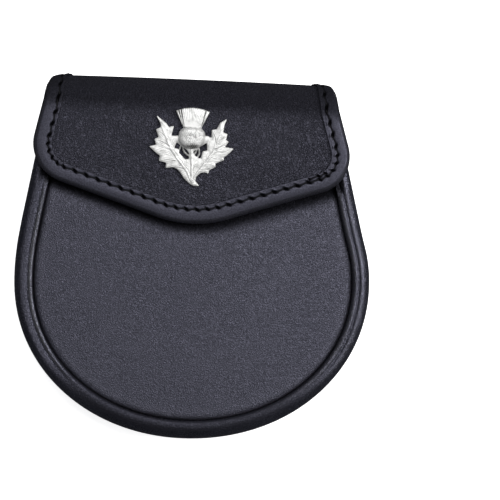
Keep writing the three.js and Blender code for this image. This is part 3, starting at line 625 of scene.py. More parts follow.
def new_object(name, data):
    """An object in the scene that holds this data."""
    made = bpy.data.objects.new(name, data)
    bpy.context.scene.collection.objects.link(made)
    return made


def add_piece(name, body, material, nodes=()):
    """A closed body as an object at the origin: welded, facing outwards, smooth, riding on the pouch. body is
    its corners, its triangles and, where its material reads any, the marks on its corners by name."""
    corners, triangles, marks = (*body, {})[:3]
    marks = {key: np.asarray(values, float).ravel() for key, values in marks.items()}
    corners, triangles, marks = welded(settled(corners), triangles, marks)
    triangles = outward_facing(corners, triangles)
    mesh = bpy.data.meshes.new(name)
    mesh.vertices.add(len(corners))
    mesh.vertices.foreach_set("co", corners.astype(np.float32).ravel())
    mesh.loops.add(triangles.size)
    mesh.loops.foreach_set("vertex_index", triangles.astype(np.int32).ravel())
    mesh.polygons.add(len(triangles))
    mesh.polygons.foreach_set("loop_start", np.arange(0, triangles.size, 3, dtype=np.int32))
    mesh.polygons.foreach_set("use_smooth", np.ones(len(triangles), bool))
    for key, values in marks.items():
        mesh.attributes.new(key, "FLOAT", "POINT").data.foreach_set("value", values.astype(np.float32))
    mesh.update(calc_edges=True)
    mesh.materials.append(material)
    piece = new_object(name, mesh)
    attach(piece, "root")
    if nodes:
        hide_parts(*nodes)
    return piece


def carried_round(middle, half, axis, start=True, end=True):
    """Carries a wall's middle surface on past its first and last line by a quarter circle, along which the
    half thickness dies away, so that the wall's cut edges are round."""
    middle, half = np.moveaxis(middle, axis, 0), np.moveaxis(half, axis, 0)
    turns = np.radians(EDGE_TURNS)[:, None, None]

    def quarter(last, before, thick):
        along = last - before
        along = along / np.maximum(np.linalg.norm(along, axis=-1, keepdims=True), 1e-9)
        reach = np.linalg.norm(thick, axis=-1, keepdims=True)
        shrink = np.where(turns > math.radians(89), 0, np.cos(turns))
        return last + along * reach * np.sin(turns), thick * shrink

    if end:
        more, thin = quarter(middle[-1], middle[-2], half[-1])
        middle, half = np.concatenate([middle, more]), np.concatenate([half, thin])
    if start:
        more, thin = quarter(middle[0], middle[1], half[0])
        middle, half = np.concatenate([more[::-1], middle]), np.concatenate([thin[::-1], half])
    return np.moveaxis(middle, 0, axis), np.moveaxis(half, 0, axis)


def edged(values, axis, start=True, end=True):
    """The marks of a wall, carried on over its round edges."""
    width = [(0, 0), (0, 0)]
    width[axis] = (start * len(EDGE_TURNS), end * len(EDGE_TURNS))
    return np.pad(values, width, mode="edge")


def leather_wall(outer, inner, marks=None, column_ends=(True, True), row_ends=(True, True)):
    """Closed body between two faces on one grid of columns and rows. The ends named get round cut edges."""
    middle, half = (outer + inner) / 2, (outer - inner) / 2
    middle, half = carried_round(middle, half, 1, *row_ends)
    middle, half = carried_round(middle, half, 0, *column_ends)
    columns, rows = middle.shape[:2]
    sheet = grid_triangles(columns, rows)
    corners = np.concatenate([(middle + half).reshape(-1, 3), (middle - half).reshape(-1, 3)])
    triangles = np.concatenate([sheet, sheet[:, ::-1] + columns * rows])
    carried = {}
    for key, values in (marks or {}).items():
        values = edged(edged(values, 1, *row_ends), 0, *column_ends)
        carried[key] = np.concatenate([values.ravel(), values.ravel()])
    return corners, triangles, carried


def tube(line, radius_at, sides, closed=False):
    """A round body along a line: at each point a ring lies across it, turned to the line and to a side
    direction that starts off the line's plane. radius_at(station, angle) gives its radius. line has shape
    (..., points, 3), and every line gets a tube of its own."""
    ahead = np.roll(line, -1, axis=-2) if closed else np.concatenate([line[..., 1:, :], line[..., -1:, :]], -2)
    behind = np.roll(line, 1, axis=-2) if closed else np.concatenate([line[..., :1, :], line[..., :-1, :]], -2)
    along = ahead - behind
    along /= np.linalg.norm(along, axis=-1, keepdims=True)
    side = np.cross(along, [0, 0, 1.0])
    side /= np.maximum(np.linalg.norm(side, axis=-1, keepdims=True), 1e-9)
    up = np.cross(side, along)
    angle = np.linspace(0, 2 * np.pi, sides + 1)
    station = np.linspace(0, 1, line.shape[-2])
    radius = radius_at(station[:, None], angle[None])[..., None]
    ring = np.cos(angle)[:, None] * side[..., None, :] + np.sin(angle)[:, None] * up[..., None, :]
    places = line[..., None, :] + radius * ring
    if closed:
        places = np.concatenate([places, places[..., :1, :, :]], axis=-3)
    return places


def many_grids(places):
    """Corners and triangles of several grids of one size, in shape (copies, columns, rows, 3)."""
    copies, columns, rows = places.shape[:3]
    one = grid_triangles(columns, rows)
    shift = np.arange(copies)[:, None, None] * columns * rows
    return places.reshape(-1, 3), (one[None] + shift).reshape(-1, 3)


# Materials


def fed(tree, made, inputs):
    """The same node with its inputs set. Each is a value, or the socket that feeds it."""
    for name, value in inputs.items():
        if isinstance(value, bpy.types.NodeSocket):
            tree.links.new(value, made.inputs[name])
        else:
            made.inputs[name].default_value = value
    return made


def node(tree, kind, inputs=None, **settings):
    """A shader node with its settings and inputs."""
    made = tree.nodes.new("ShaderNode" + kind)
    for name, value in settings.items():
        setattr(made, name, value)
    return fed(tree, made, inputs or {})


def maths(tree, operation, first, second=0.0):
    return node(tree, "Math", {0: first, 1: second}, operation=operation).outputs[0]


def mixed(tree, share, low, high):
    """Colour from low to high. A Mix node keeps its colours at inputs 6 and 7 and output 2."""
    return node(tree, "Mix", {0: share, 6: low, 7: high}, data_type="RGBA").outputs[2]


def lerp_value(tree, share, low, high):
    """Value from low to high. A Mix node keeps its values at inputs 2 and 3 and output 0."""
    return node(tree, "Mix", {0: share, 2: low, 3: high}, data_type="FLOAT").outputs[0]


def ramped(tree, value, low, high, to_low=0.0, to_high=1.0):
    """Value from low..high to to_low..to_high, held at both ends."""
    inputs = {"Value": value, "From Min": low, "From Max": high, "To Min": to_low, "To Max": to_high}
    return node(tree, "MapRange", inputs, interpolation_type="SMOOTHSTEP").outputs["Result"]


def noise(tree, place, scale, detail=2.0, roughness=0.5):
    inputs = {"Vector": place, "Scale": scale, "Detail": detail, "Roughness": roughness}
    return node(tree, "TexNoise", inputs).outputs[0]


def new_group(name, inputs):
    """An empty node group with its named inputs. It gives a colour, a roughness and a height."""
    tree = bpy.data.node_groups.new(name, "ShaderNodeTree")
    for label, kind, value in inputs:
        socket = tree.interface.new_socket(label, in_out="INPUT", socket_type="NodeSocket" + kind)
        if value is not None:
            socket.default_value = value
    for label, kind in (("Colour", "Color"), ("Roughness", "Float"), ("Height", "Float")):
        tree.interface.new_socket(label, in_out="OUTPUT", socket_type="NodeSocket" + kind)
    return tree, tree.nodes.new("NodeGroupInput").outputs, tree.nodes.new("NodeGroupOutput").inputs


def leather_group():
    """Grained leather. Pebbles are cells with dark cracks between them, and on them lies a fine grain. The dye
    is uneven over some centimetres and speckled over less than a millimetre, and rubbed places and places with
    a painted highlight are paler."""
    tree, given, out = new_group(
        "Grained leather",
        [
            ("Place", "Vector", None),
            ("Dye", "Color", (0.02, 0.02, 0.025, 1)),
            ("Rubbed And Sheen", "Color", (0.08, 0.08, 0.09, 1)),
            ("Pebble Scale", "Float", 700.0),
            ("Grain Scale", "Float", 1600.0),
            ("Pebbling", "Float", 0.5),
            ("Wear And Sheen", "Float", 0.0),
            ("Gloss", "Float", 0.5),
        ],
    )
    warp = node(tree, "TexNoise", {"Vector": given["Place"], "Scale": 260.0, "Detail": 1.0}).outputs["Color"]
    bent = node(tree, "VectorMath", {0: warp, 1: (0.0016, 0.0016, 0.0016)}, operation="MULTIPLY").outputs[0]
    place = node(tree, "VectorMath", {0: given["Place"], 1: bent}).outputs[0]
    cells = node(
        tree, "TexVoronoi", {"Vector": place, "Scale": given["Pebble Scale"]}, feature="DISTANCE_TO_EDGE"
    ).outputs["Distance"]
    pebble = ramped(tree, cells, 0.0, 0.32)
    grain = noise(tree, given["Place"], given["Grain Scale"], 3.0, 0.65)
    patches = noise(tree, given["Place"], 22.0, 3.0, 0.6)
    speckle = noise(tree, given["Place"], given["Grain Scale"], 1.0, 0.5)

    pebbled = maths(tree, "MULTIPLY", pebble, given["Pebbling"])
    height = maths(tree, "ADD", pebbled, maths(tree, "MULTIPLY", grain, 0.55))
    tree.links.new(height, out["Height"])

    patched = ramped(tree, patches, 0.3, 0.7, 0.84, 1.16)
    speckled = ramped(tree, speckle, 0.3, 0.7, 0.3, 1.7)
    cracks = lerp_value(tree, given["Pebbling"], 1.0, ramped(tree, cells, 0.0, 0.2, 0.55, 1.05))
    tone = maths(tree, "MULTIPLY", maths(tree, "MULTIPLY", patched, speckled), cracks)
    dyed = node(tree, "VectorMath", {0: given["Dye"], "Scale": tone}, operation="SCALE").outputs[0]
    # Paler where the leather is worn and where a painted highlight lies
    rub_and_sheen = maths(tree, "MULTIPLY", given["Wear And Sheen"], ramped(tree, grain, 0.35, 0.75, 0.2, 1.0))
    tree.links.new(mixed(tree, rub_and_sheen, dyed, given["Rubbed And Sheen"]), out["Colour"])

    uneven = ramped(tree, patches, 0.3, 0.7, -0.04, 0.04)
    rough = maths(tree, "ADD", given["Gloss"], uneven)
    rough = maths(tree, "ADD", rough, ramped(tree, speckle, 0.3, 0.7, 0.12, -0.12))
    tree.links.new(maths(tree, "SUBTRACT", rough, maths(tree, "MULTIPLY", rub_and_sheen, 0.12)), out["Roughness"])
    return tree


def cast_group():
    """Cast silver finish: bright on the crests, dark with tarnish in the recesses, finely pitted."""
    tree, given, out = new_group(
        "Cast finish",
        [
            ("Place", "Vector", None),
            ("Bright", "Color", (0.6, 0.6, 0.6, 1)),
            ("Tarnish", "Color", (0.05, 0.05, 0.05, 1)),
            ("Recess", "Float", 0.0),
            ("Gloss", "Float", 0.3),
        ],
    )
    pits = noise(tree, given["Place"], 2600.0, 3.0, 0.6)
    blotches = noise(tree, given["Place"], 420.0, 2.0, 0.5)
    dark = maths(tree, "ADD", given["Recess"], ramped(tree, blotches, 0.4, 0.75, -0.04, 0.3))
    dark = node(tree, "Clamp", {"Value": dark}).outputs[0]
    tree.links.new(mixed(tree, dark, given["Bright"], given["Tarnish"]), out["Colour"])
    rough = maths(tree, "ADD", given["Gloss"], maths(tree, "MULTIPLY", dark, 0.25))
    tree.links.new(maths(tree, "ADD", rough, ramped(tree, pits, 0.3, 0.7, -0.06, 0.06)), out["Roughness"])
    tree.links.new(pits, out["Height"])
    return tree


def new_material(name):
    """A material whose tree holds only a Principled shader and its output, and its object's coordinates."""
    material = bpy.data.materials.new(name)
    material.use_nodes = True
    tree = material.node_tree
    tree.nodes.clear()
    shader = tree.nodes.new("ShaderNodeBsdfPrincipled")
    output = tree.nodes.new("ShaderNodeOutputMaterial")
    tree.links.new(shader.outputs["BSDF"], output.inputs["Surface"])
    return material, tree, shader


def object_place(tree):
    """Place on the object, in its own coordinates."""
    return tree.nodes.new("ShaderNodeTexCoord").outputs["Object"]


def relief(tree, height, depth, strength=1.0):
    """Normal of a surface with a fine relief of this depth."""
    return node(tree, "Bump", {"Strength": strength, "Distance": depth, "Height": height}).outputs["Normal"]


def mark_value(tree, name):
    """Value of a mark that the mesh carries on its corners."""
    return node(tree, "Attribute", attribute_name=name).outputs["Fac"]


def group_outputs(tree, name, build, inputs):
    """Outputs of a node of the shared group with this name, which is built when it is first used."""
    group = bpy.data.node_groups.get(name) or build()
    return fed(tree, node(tree, "Group", node_tree=group), inputs).outputs


def leather_material(
    name, dye, pebble, grain, pebbling, gloss, depth, specular=0.32, rub_and_sheen=0.012, pits=False
):
    """Leather with its dye, grain sizes, roughness and the depth of its grain. Its paler colour lifts worn
    places and painted highlights. Where it is bent, and on parts of the gusset roll, it is duller and darkened
    by painted shade, beside the flap's rim it carries a painted shadow, and where stitches pull it in it is
    painted black as shade."""
    material, tree, shader = new_material(name)
    # Paler colour for worn places and for painted highlights
    rubbed_and_sheen = tuple(2.2 * value + rub_and_sheen for value in dye)
    finish = group_outputs(tree, "Grained leather", leather_group, {
        "Place": object_place(tree),
        "Dye": (*dye, 1),
        "Rubbed And Sheen": (*rubbed_and_sheen, 1),
        "Pebble Scale": 1 / pebble,
        "Grain Scale": 1 / grain,
        "Pebbling": pebbling,
        "Wear And Sheen": mark_value(tree, "worn"),
        "Gloss": gloss,
    })
    colour, rough = finish["Colour"], finish["Roughness"]
    # Painted shade where the leather is bent and on parts of the gusset roll: the colour goes towards black,
    # and the leather is also duller
    dull = mark_value(tree, "dull")
    colour = mixed(tree, maths(tree, "MULTIPLY", dull, 0.75), colour, (0.0015, 0.0015, 0.0018, 1))
    rough = maths(tree, "ADD", rough, maths(tree, "MULTIPLY", dull, 0.35))
    # Painted shadow beside the flap's rim: the colour goes near black and the specular falls to a tenth
    wax = mark_value(tree, "wax")
    colour = mixed(tree, maths(tree, "MULTIPLY", wax, 0.93), colour, (0.0005, 0.0005, 0.0006, 1))
    shine = lerp_value(tree, wax, specular, 0.1 * specular)
    shine = maths(tree, "MULTIPLY", shine, maths(tree, "SUBTRACT", 1.0, maths(tree, "MULTIPLY", dull, 0.4)))
    if pits:
        # Painted shade in the stitch holes and groove: black, with almost no specular
        pit = mark_value(tree, "pit")
        shine = lerp_value(tree, pit, shine, 0.02)
        colour = mixed(tree, pit, colour, (0.0006, 0.0006, 0.0007, 1))
        rough = maths(tree, "ADD", rough, maths(tree, "MULTIPLY", pit, 0.4))
    fed(tree, shader, {
        "Specular IOR Level": shine,
        "Base Color": colour,
        "Roughness": rough,
        "Normal": relief(tree, finish["Height"], depth),
        "Specular Tint": (0.84, 0.84, 1.1, 1),
    })
    return material


def thread_material():
    """Black waxed thread, with the twist of its plies as fine slanting ridges."""
    material, tree, shader = new_material("Waxed thread")
    fuzz = noise(tree, object_place(tree), 3500.0, 2.0, 0.6)
    fed(tree, shader, {
        "Base Color": mixed(
            tree, ramped(tree, fuzz, 0.35, 0.7), (0.001, 0.001, 0.0012, 1), (0.006, 0.006, 0.007, 1)
        ),
        "Roughness": ramped(tree, fuzz, 0.3, 0.7, 0.5, 0.7),
        "Specular IOR Level": 0.12,
        "Normal": relief(tree, fuzz, 0.0001, 0.8),
    })
    return material


def metal_material(name, bright, tarnish, gloss, depth, metallic=1.0, recess=None):
    """Cast or drawn metal. recess names the mark that says where the tarnish lies."""
    material, tree, shader = new_material(name)
    inputs = {"Place": object_place(tree), "Bright": (*bright, 1), "Tarnish": (*tarnish, 1), "Gloss": gloss}
    if recess:
        inputs["Recess"] = mark_value(tree, recess)
    finish = group_outputs(tree, "Cast finish", cast_group, inputs)
    fed(tree, shader, {
        "Base Color": finish["Colour"],
        "Roughness": finish["Roughness"],
        "Normal": relief(tree, finish["Height"], depth),
        "Metallic": metallic,
    })
    return material


# Pouch


def roll_section(front):
    """Gusset's section from the front lip to the back lip, smoothed: in from the outline, up, the way that it
    faces in degrees, and how much paler it is from wear and from painted highlight."""
    points = [(ROLL_WIDTH, FRONT_SEAM - SEAM_ALLOWANCE, 180, 0), (ROLL_WIDTH, FRONT_SEAM, 175, 0)]
    points += [
        (row["across"] * ROLL_WIDTH, DEPTH - row["below"] * ROLL_HEIGHT, row["faces"], row["worn"])
        for row in front
    ]
    points += [(SIDE_CREASE, DEPTH / 2, 0, 0)]
    points += [
        (row["across"] * ROLL_WIDTH, row["above"] * BACK_ROLL_HEIGHT, row["faces"], row["worn"])
        for row in BACK_ROLL
    ]
    points += [(ROLL_WIDTH, BACK_SEAM, -175, 0), (ROLL_WIDTH, BACK_RECESS + SEAM_ALLOWANCE, -180, 0)]
    section = spline(points, GUSSET_ROWS)
    section[:, 0] = np.clip(section[:, 0], 0, ROLL_WIDTH)
    section[:, 1] = np.clip(section[:, 1], 0, DEPTH)
    return section


def gusset_wall(leather):
    """Gusset as its section carried along the body's outline. Round the bottom the section passes into the one
    without a ridge. A sum of sine waves makes the roll a little uneven along its length, as sewn leather is.
    Near its two ends its side bulges, as a parabola over the depth that grows evenly towards the end."""
    path = body_path(MOUTH_Y, GUSSET_COLUMNS)
    run = line_run(path)
    x, y, nx, ny = (column[:, None] for column in path.T)
    bottom = smoothstep(-ny, 0.5, 0.93)
    inward, up, faces, worn = (
        lerp(side[None], plain[None], bottom)
        for side, plain in zip(roll_section(FRONT_ROLL).T, roll_section(BOTTOM_ROLL).T)
    )
    waves = sum(wave["share"] * np.sin(run / wave["radian"] + wave["phase"]) for wave in ROLL_WAVES)
    waves = waves[:, None]
    on_roll = smoothstep(up, FRONT_SEAM + 0.0012, DEPTH)
    ridge = bell(inward - 0.8 * ROLL_WIDTH, 0.2 * ROLL_WIDTH) * on_roll * (1 - bottom)
    inward = inward - (0.00025 + 0.00075 * nx) * ridge
    away = past_flap(x - nx * inward, y - ny * inward)
    up = up - (ROLL_WAVE_DEPTH * (1 + waves / 3) + pressed(away) * (0.5 + 1.1 * ridge)) * on_roll
    # Painted shadow of the flap on the roll beside its rim and corners
    wax = painted_flap_shadow(away) * smoothstep(inward, 0.2 * ROLL_WIDTH, 0.6 * ROLL_WIDTH)
    # Painted shade on the roll's bottom and on the crest of its left side, which are also duller
    dull = (0.8 * bottom + 0.4 * (1 - nx) * bell(inward - 0.5 * ROLL_WIDTH, 0.22 * ROLL_WIDTH)) * on_roll
    # Paler crests: partly wear, partly a painted highlight on the inner side of the left roll and the outer
    # side of the right, which face the light
    worn = worn * lerp(0.55 + 0.45 * nx, 0.6 - 0.4 * nx, ridge) * (1 - 0.5 * bottom) * (0.75 + 0.1 * waves)
    seam_shift = SEAM_SHIFT * smoothstep(inward, 0.3 * ROLL_WIDTH, 0.95 * ROLL_WIDTH) * (up > DEPTH / 2)
    end = np.minimum(run, run[-1] - run)[:, None]
    bulge = END_BULGE * np.maximum(0, 1 - (2 * up / DEPTH - 1) ** 2) * np.clip(1 - end / END_BULGE_RUN, 0, 1)
    along = np.sign(x) * bulge

    def face(thick):
        turn = np.radians(faces)
        deep = inward + thick * np.cos(turn)
        level = up - thick * np.sin(turn)
        face_x = x - nx * deep - ny * along + seam_shift
        face_y = y - ny * deep + np.abs(nx * along)
        return np.stack([face_x, face_y, level], axis=-1)

    return leather_wall(face(0.0), face(leather.wall), {"worn": np.clip(worn, 0, 1), "dull": dull, "wax": wax})


def panel_wall(leather, top_y, turn, rows, height_at, on_front):
    """Panel with the body's outline. Its columns run round the outline and its rows from the turned edge in to
    the middle line, so that the two halves meet there. height_at(share, x, y) is its level, and on_front is 1
    for the panel that the flap lies on."""
    path = body_path(top_y, PANEL_COLUMNS)
    x, y, nx, ny = (column[:, None] for column in path.T)
    shares = np.concatenate([np.zeros(len(turn)), np.linspace(0, 1, rows + 1)[1:]])[None]
    turn = np.vstack([turn, np.repeat(turn[-1:], rows, axis=0)])
    at_top = np.zeros((len(path), 1), bool)
    at_top[[0, -1]] = True

    def face(inward, down):
        deep = PANEL_INSET + leather.wall * inward[None]
        edge_x = np.where(at_top, x - deep / nx, x - nx * deep)
        edge_y = np.where(at_top, y, y - ny * deep)
        middle_y = np.maximum(WAIST_Y, edge_y)
        at_x, at_y = lerp(edge_x, 0, shares), lerp(edge_y, middle_y, shares)
        level = height_at(shares, at_x, at_y) - leather.wall * down[None]
        return np.stack([at_x, at_y, level], axis=-1)

    outer, inner = face(turn[:, 0], turn[:, 1]), face(turn[:, 2], turn[:, 3])
    worn = 0.3 * bell(np.arange(turn.shape[0]) - 13, 2.5)[None] * np.ones((len(path), 1))
    # Painted shadow of the flap's rim on the front panel
    wax = painted_flap_shadow(past_flap(outer[..., 0], outer[..., 1])) * on_front
    shift = np.array([SEAM_SHIFT * on_front, 0, 0])
    return leather_wall(outer + shift, inner + shift, {"worn": worn, "wax": wax}, row_ends=(True, False))


def front_panel_wall(leather):
    """Front panel: a turned edge, then a low crown that rises as 1 - (1 - share)^2, pressed in by the flap."""
    turn = spline([list(row.values()) for row in PANEL_TURN], TURN_ROWS)

    def level(share, x, y):
        return FRONT_SEAM + FRONT_CROWN * (1 - (1 - share) ** 2) - pressed(past_flap(x, y))

    return panel_wall(leather, FRONT_TOP_Y, turn, FRONT_ROWS, level, 1)


def back_panel_wall(leather):
    """Back panel: flat, with its inner face further up."""
    turn = np.array([[0.0, 0.0, 0.0, -1.0]])
    return panel_wall(leather, MOUTH_Y, turn, BACK_ROWS, lambda share, x, y: BACK_RECESS + 0 * x, 0)


# Flap


def fold_dull_and_shade(s):
    """1 where the flap is bent: its leather is duller there and darkened by painted shade, fading out some way
    below the fold line.
    """
    return smoothstep(s, FOLD_Y - 0.008, FOLD_Y + 0.002)


def flap_wall():
    """Flap: rows run from the cut edge up to the fold line, then over the fold and down to the tail's end.
    Columns are placed by their length along the rim."""
    rim = evenly(both_sides(rim_half()), FLAP_COLUMNS)
    across = np.linspace(-1, 1, len(rim))[:, None]
    shares = np.linspace(0, 1, 26)[None, :-1]
    cut = RIM_ROUND + FLAP_LEATHER / 2
    edge = rim[:, :2] - rim[:, 2:] * cut
    x = lerp(edge[:, :1], across * (fold_half(FOLD_Y) - cut), shares)
    s = lerp(edge[:, 1:], FOLD_Y, shares)
    past = np.concatenate([
        np.linspace(FOLD_Y, FOLD_Y + FOLD_ARC, 18)[:-1],
        np.linspace(FOLD_Y + FOLD_ARC, BACK_FOLD_START, 8)[:-1],
        np.linspace(BACK_FOLD_START, TAIL_START, 16)[:-1],
        np.linspace(TAIL_START, TAIL_START + TAIL_LENGTH, 14),
    ])[None]
    x = np.hstack([x, across * (fold_half(past) - cut)])
    s = np.hstack([s, past + 0 * across])
    worn = 0.35 * bell(s - FOLD_Y - FOLD_ARC * 0.75, 0.004)
    return leather_wall(folded(x, s, FLAP_LEATHER), folded(x, s, 0.0), {"worn": worn, "dull": fold_dull_and_shade(s)})


def stitch_inset(stitches, x):
    """How far in from the rim the stitch line runs: a little more on the left than on the right."""
    side = x / (FLAP_WIDTH / 2)
    return stitches.inset + 0.0002 * (1 - np.abs(side)) - 0.0006 * side


def stitch_count(stitches, run):
    return int(round(run[-1] / stitches.pitch))


def tacked(x, s):
    """Where the stitches also run back beside themselves."""
    return (x > TACK_FROM_X) & (x < TACK_TO_X) & (s < TACK_BELOW_S)


def strip_wall(stitches):
    """Strip round the flap's rim: its section is a flat inner part, a crown that falls off towards the rim, a
    half oval round it and a flat lower part. The upper face runs in a groove under the thread, which crosses
    from the outer end of one hole to the inner end of the next, and each hole is a slanting dimple with a
    raised lip."""
    path, run = strip_path(STRIP_COLUMNS)
    x, s, nx, ny = (column[:, None] for column in path.T)
    turn = np.radians(np.concatenate([np.full(32, 90.0), np.linspace(90, -90, 16), np.full(5, -90.0)]))[None]
    flat_top = np.linspace(BINDING_WIDTH, RIM_ROUND, 33)[:-1]
    flat_under = np.linspace(RIM_ROUND, BINDING_WIDTH, 6)[1:]

    def section(thin):
        round_in = thin + (RIM_ROUND - thin) * (1 - np.cos(turn[0, 32:48]))
        inward = np.concatenate([flat_top, round_in, flat_under])[None]
        crown = np.clip(1 - inward / RIM_CROWN, 0, 1) ** 2.2 * (turn > 0)
        return inward, FLAP_LEATHER / 2 + (RIM_HALF * (1 - 0.9 * crown) - thin) * np.sin(turn)

    inward, height = section(0.0)
    pitch = run[-1] / stitch_count(stitches, run)
    inset = stitch_inset(stitches, x)
    along = (run[:, None] / pitch) % 1 - 0.5
    across = inward - inset
    thread_at = stitches.lean * (2 * ((run[:, None] / pitch - 0.5) % 1) - 1)

    def holes_and_thread(off):
        turned_along = along * pitch * math.cos(stitches.slant) - off * math.sin(stitches.slant)
        turned_across = off * math.cos(stitches.slant) + along * pitch * math.sin(stitches.slant)
        dimple = np.exp(-((turned_along / HOLE_LENGTH) ** 2) - np.abs(turned_across / HOLE_WIDTH) ** 3)
        lip = bell(turned_along + 0.0006, 0.0008) * bell(turned_across - 0.0013, 0.00035)
        return dimple, bell(off - thread_at, GROOVE_WIDTH), lip

    both_rows = zip(holes_and_thread(across), holes_and_thread(across - TACK_SHIFT))
    dimple, groove, lip = (np.maximum(once, again * tacked(x, s)) for once, again in both_rows)
    rim_swell = np.sin(np.pi * np.clip((inward - 0.0015) / (inset - 0.0015), 0, 1)) ** 1.4
    swell = RIM_SWELL * rim_swell + LIP_SWELL * lip
    on_top = np.sin(turn) > 0.999
    pulled = np.minimum(stitches.pull * (dimple + 0.7 * groove), stitches.pull)
    height = height + np.where(on_top, swell - pulled, 0)
    # Painted shade in the stitch holes and groove: the leather there is coloured black
    pit = np.where(on_top, np.clip(2.2 * dimple + 0.9 * groove, 0, 1), 0)
    # Painted highlights: a sheen along the upper round of the rim and a glint on each stitch hole's raised lip
    worn = 0.8 * bell(turn - math.radians(70), 0.3) * (inward < RIM_ROUND) + lip * on_top
    outer = folded(x - nx * inward, s - ny * inward, height)
    thin_inward, thin_height = section(BINDING_LEATHER)
    inner = folded(x - nx * thin_inward, s - ny * thin_inward, thin_height)
    dull = fold_dull_and_shade(s - ny * inward) + 0 * pit
    return leather_wall(outer, inner, {"pit": pit, "worn": np.clip(worn + 0 * x, 0, 1), "dull": dull})


def stitch_tubes(start, end, outside, dive, thread, bend):
    """Threads from start to end, both in flat terms x, s with shape (count, 2): each lies outside the leather
    at the height given, and dives in at both ends as dive (2t - 1)^4. Two plies twist round each other, so
    the section has two lobes that turn along it. bend takes flat places to their place on the pouch."""
    t = np.linspace(0, 1, 17)
    flat = lerp(start[:, None], end[:, None], t[None, :, None])
    height = outside - dive * (2 * t - 1) ** 4 + 0 * flat[..., 0]
    line = bend(flat[..., 0], flat[..., 1], height)

    def radius_at(station, angle):
        ends = np.sqrt(np.clip(1 - (2 * station - 1) ** 8, 0, 1))
        return thread / 2 * ends * (1 + 0.16 * np.cos(2 * angle - 5 * np.pi * station))

    return many_grids(tube(line, radius_at, 10))


def flap_stitches(stitches):
    """Stitches round the flap, each from one hole to the next and leaning across the line between them, and
    the few that run back beside them at the right corner."""
    path, run = strip_path(1200)
    count = stitch_count(stitches, run)
    pitch = run[-1] / count
    holes = (np.arange(count) + 0.5) * pitch

    def on_line(at, shift):
        x, s, nx, ny = (np.interp(at, run, column) for column in path.T)
        inset = stitch_inset(stitches, x) + shift
        return np.column_stack([x - nx * inset, s - ny * inset])

    short, lean = FLAP_STITCH_SHORT, stitches.lean
    tack = holes[:-1][tacked(*on_line((holes[:-1] + holes[1:]) / 2, 0).T)]
    start = np.vstack([on_line(holes[:-1] + short, -lean), on_line(tack + short, TACK_SHIFT - lean)])
    end = np.vstack([on_line(holes[1:] - short, lean), on_line(tack + pitch - short, TACK_SHIFT + lean)])
    outside = FLAP_LEATHER / 2 + RIM_HALF - 0.8 * stitches.pull
    return stitch_tubes(start, end, outside, FLAP_STITCH_DIVE, stitches.thread, folded)


def stitch_rows(holes, rows, short):
    """Starts and ends of the stitches between neighbouring holes, in rows at these levels."""
    level = np.repeat(rows, len(holes) - 1)
    start = np.column_stack([np.tile(holes[:-1] + short, len(rows)), level])
    end = np.column_stack([np.tile(holes[1:] - short, len(rows)), level])
    return start, end


def tail_stitches(stitches):
    """Two rows of stitches that hold the flap's tail to the back panel."""
    half = float(fold_half(TAIL_START + TAIL_LENGTH)) - 0.004
    ends = np.linspace(-half, half, int(round(2 * half / stitches.pitch)) + 1)
    rows = [TAIL_START + TAIL_LENGTH - short for short in TAIL_STITCH_ROWS]
    start, end = stitch_rows(ends, rows, TAIL_STITCH_SHORT)
    return stitch_tubes(start, end, FLAP_LEATHER + 0.0001, TAIL_STITCH_DIVE, stitches.thread, folded)


# Badge


def badge_places(points):
    return np.asarray(points, float) * np.array([BADGE_HALF_WIDTH, BADGE_HALF_HEIGHT])


def outline_distance(places, corners):
    """Signed distance to a closed outline, negative inside: the nearest edge gives the size, and how often a
    level ray crosses the outline gives the sign."""
    nearest = np.full(places.shape[:-1], np.inf)
    inside = np.zeros(places.shape[:-1], bool)
    for a, b in zip(corners, np.roll(corners, -1, axis=0)):
        edge, off = b - a, places - a
        share = np.clip((off @ edge) / (edge @ edge), 0, 1)
        nearest = np.minimum(nearest, np.linalg.norm(off - share[..., None] * edge, axis=-1))
        crosses = (a[1] > places[..., 1]) != (b[1] > places[..., 1])
        rise = np.where(b[1] == a[1], 1, b[1] - a[1])
        inside ^= crosses & (places[..., 0] < a[0] + edge[0] * off[..., 1] / rise)
    return np.where(inside, -nearest, nearest)


def line_distance(places, line):
    """Distance to an open line of points, and the share of its length at the nearest place."""
    nearest = np.full(places.shape[:-1], np.inf)
    share_at = np.zeros(places.shape[:-1])
    run = line_run(line)
    for k, (a, b) in enumerate(zip(line[:-1], line[1:])):
        edge, off = b - a, places - a
        share = np.clip((off @ edge) / (edge @ edge), 0, 1)
        distance = np.linalg.norm(off - share[..., None] * edge, axis=-1)
        closer = distance < nearest
        nearest = np.where(closer, distance, nearest)
        share_at = np.where(closer, lerp(run[k], run[k + 1], share) / run[-1], share_at)
    return nearest, share_at


def blurred(values, width):
    """Gaussian blur by the Fourier transform. width is in cells."""
    down, along = np.fft.fftfreq(values.shape[0])[:, None], np.fft.rfftfreq(values.shape[1])[None]
    gain = np.exp(-2 * (np.pi * width) ** 2 * (down**2 + along**2))
    return np.fft.irfft2(np.fft.rfft2(values) * gain, values.shape)


def leaf_tips(outline):
    """Corners of the outline that stick out as barbs: those whose two edges turn by more than 60 degrees to
    the right, as the outline runs clockwise."""
    into = outline - np.roll(outline, 1, axis=0)
    out = np.roll(outline, -1, axis=0) - outline
    cross = into[:, 0] * out[:, 1] - into[:, 1] * out[:, 0]
    turn = np.arctan2(-cross, np.sum(into * out, axis=1))
    return outline[turn > math.radians(60)]


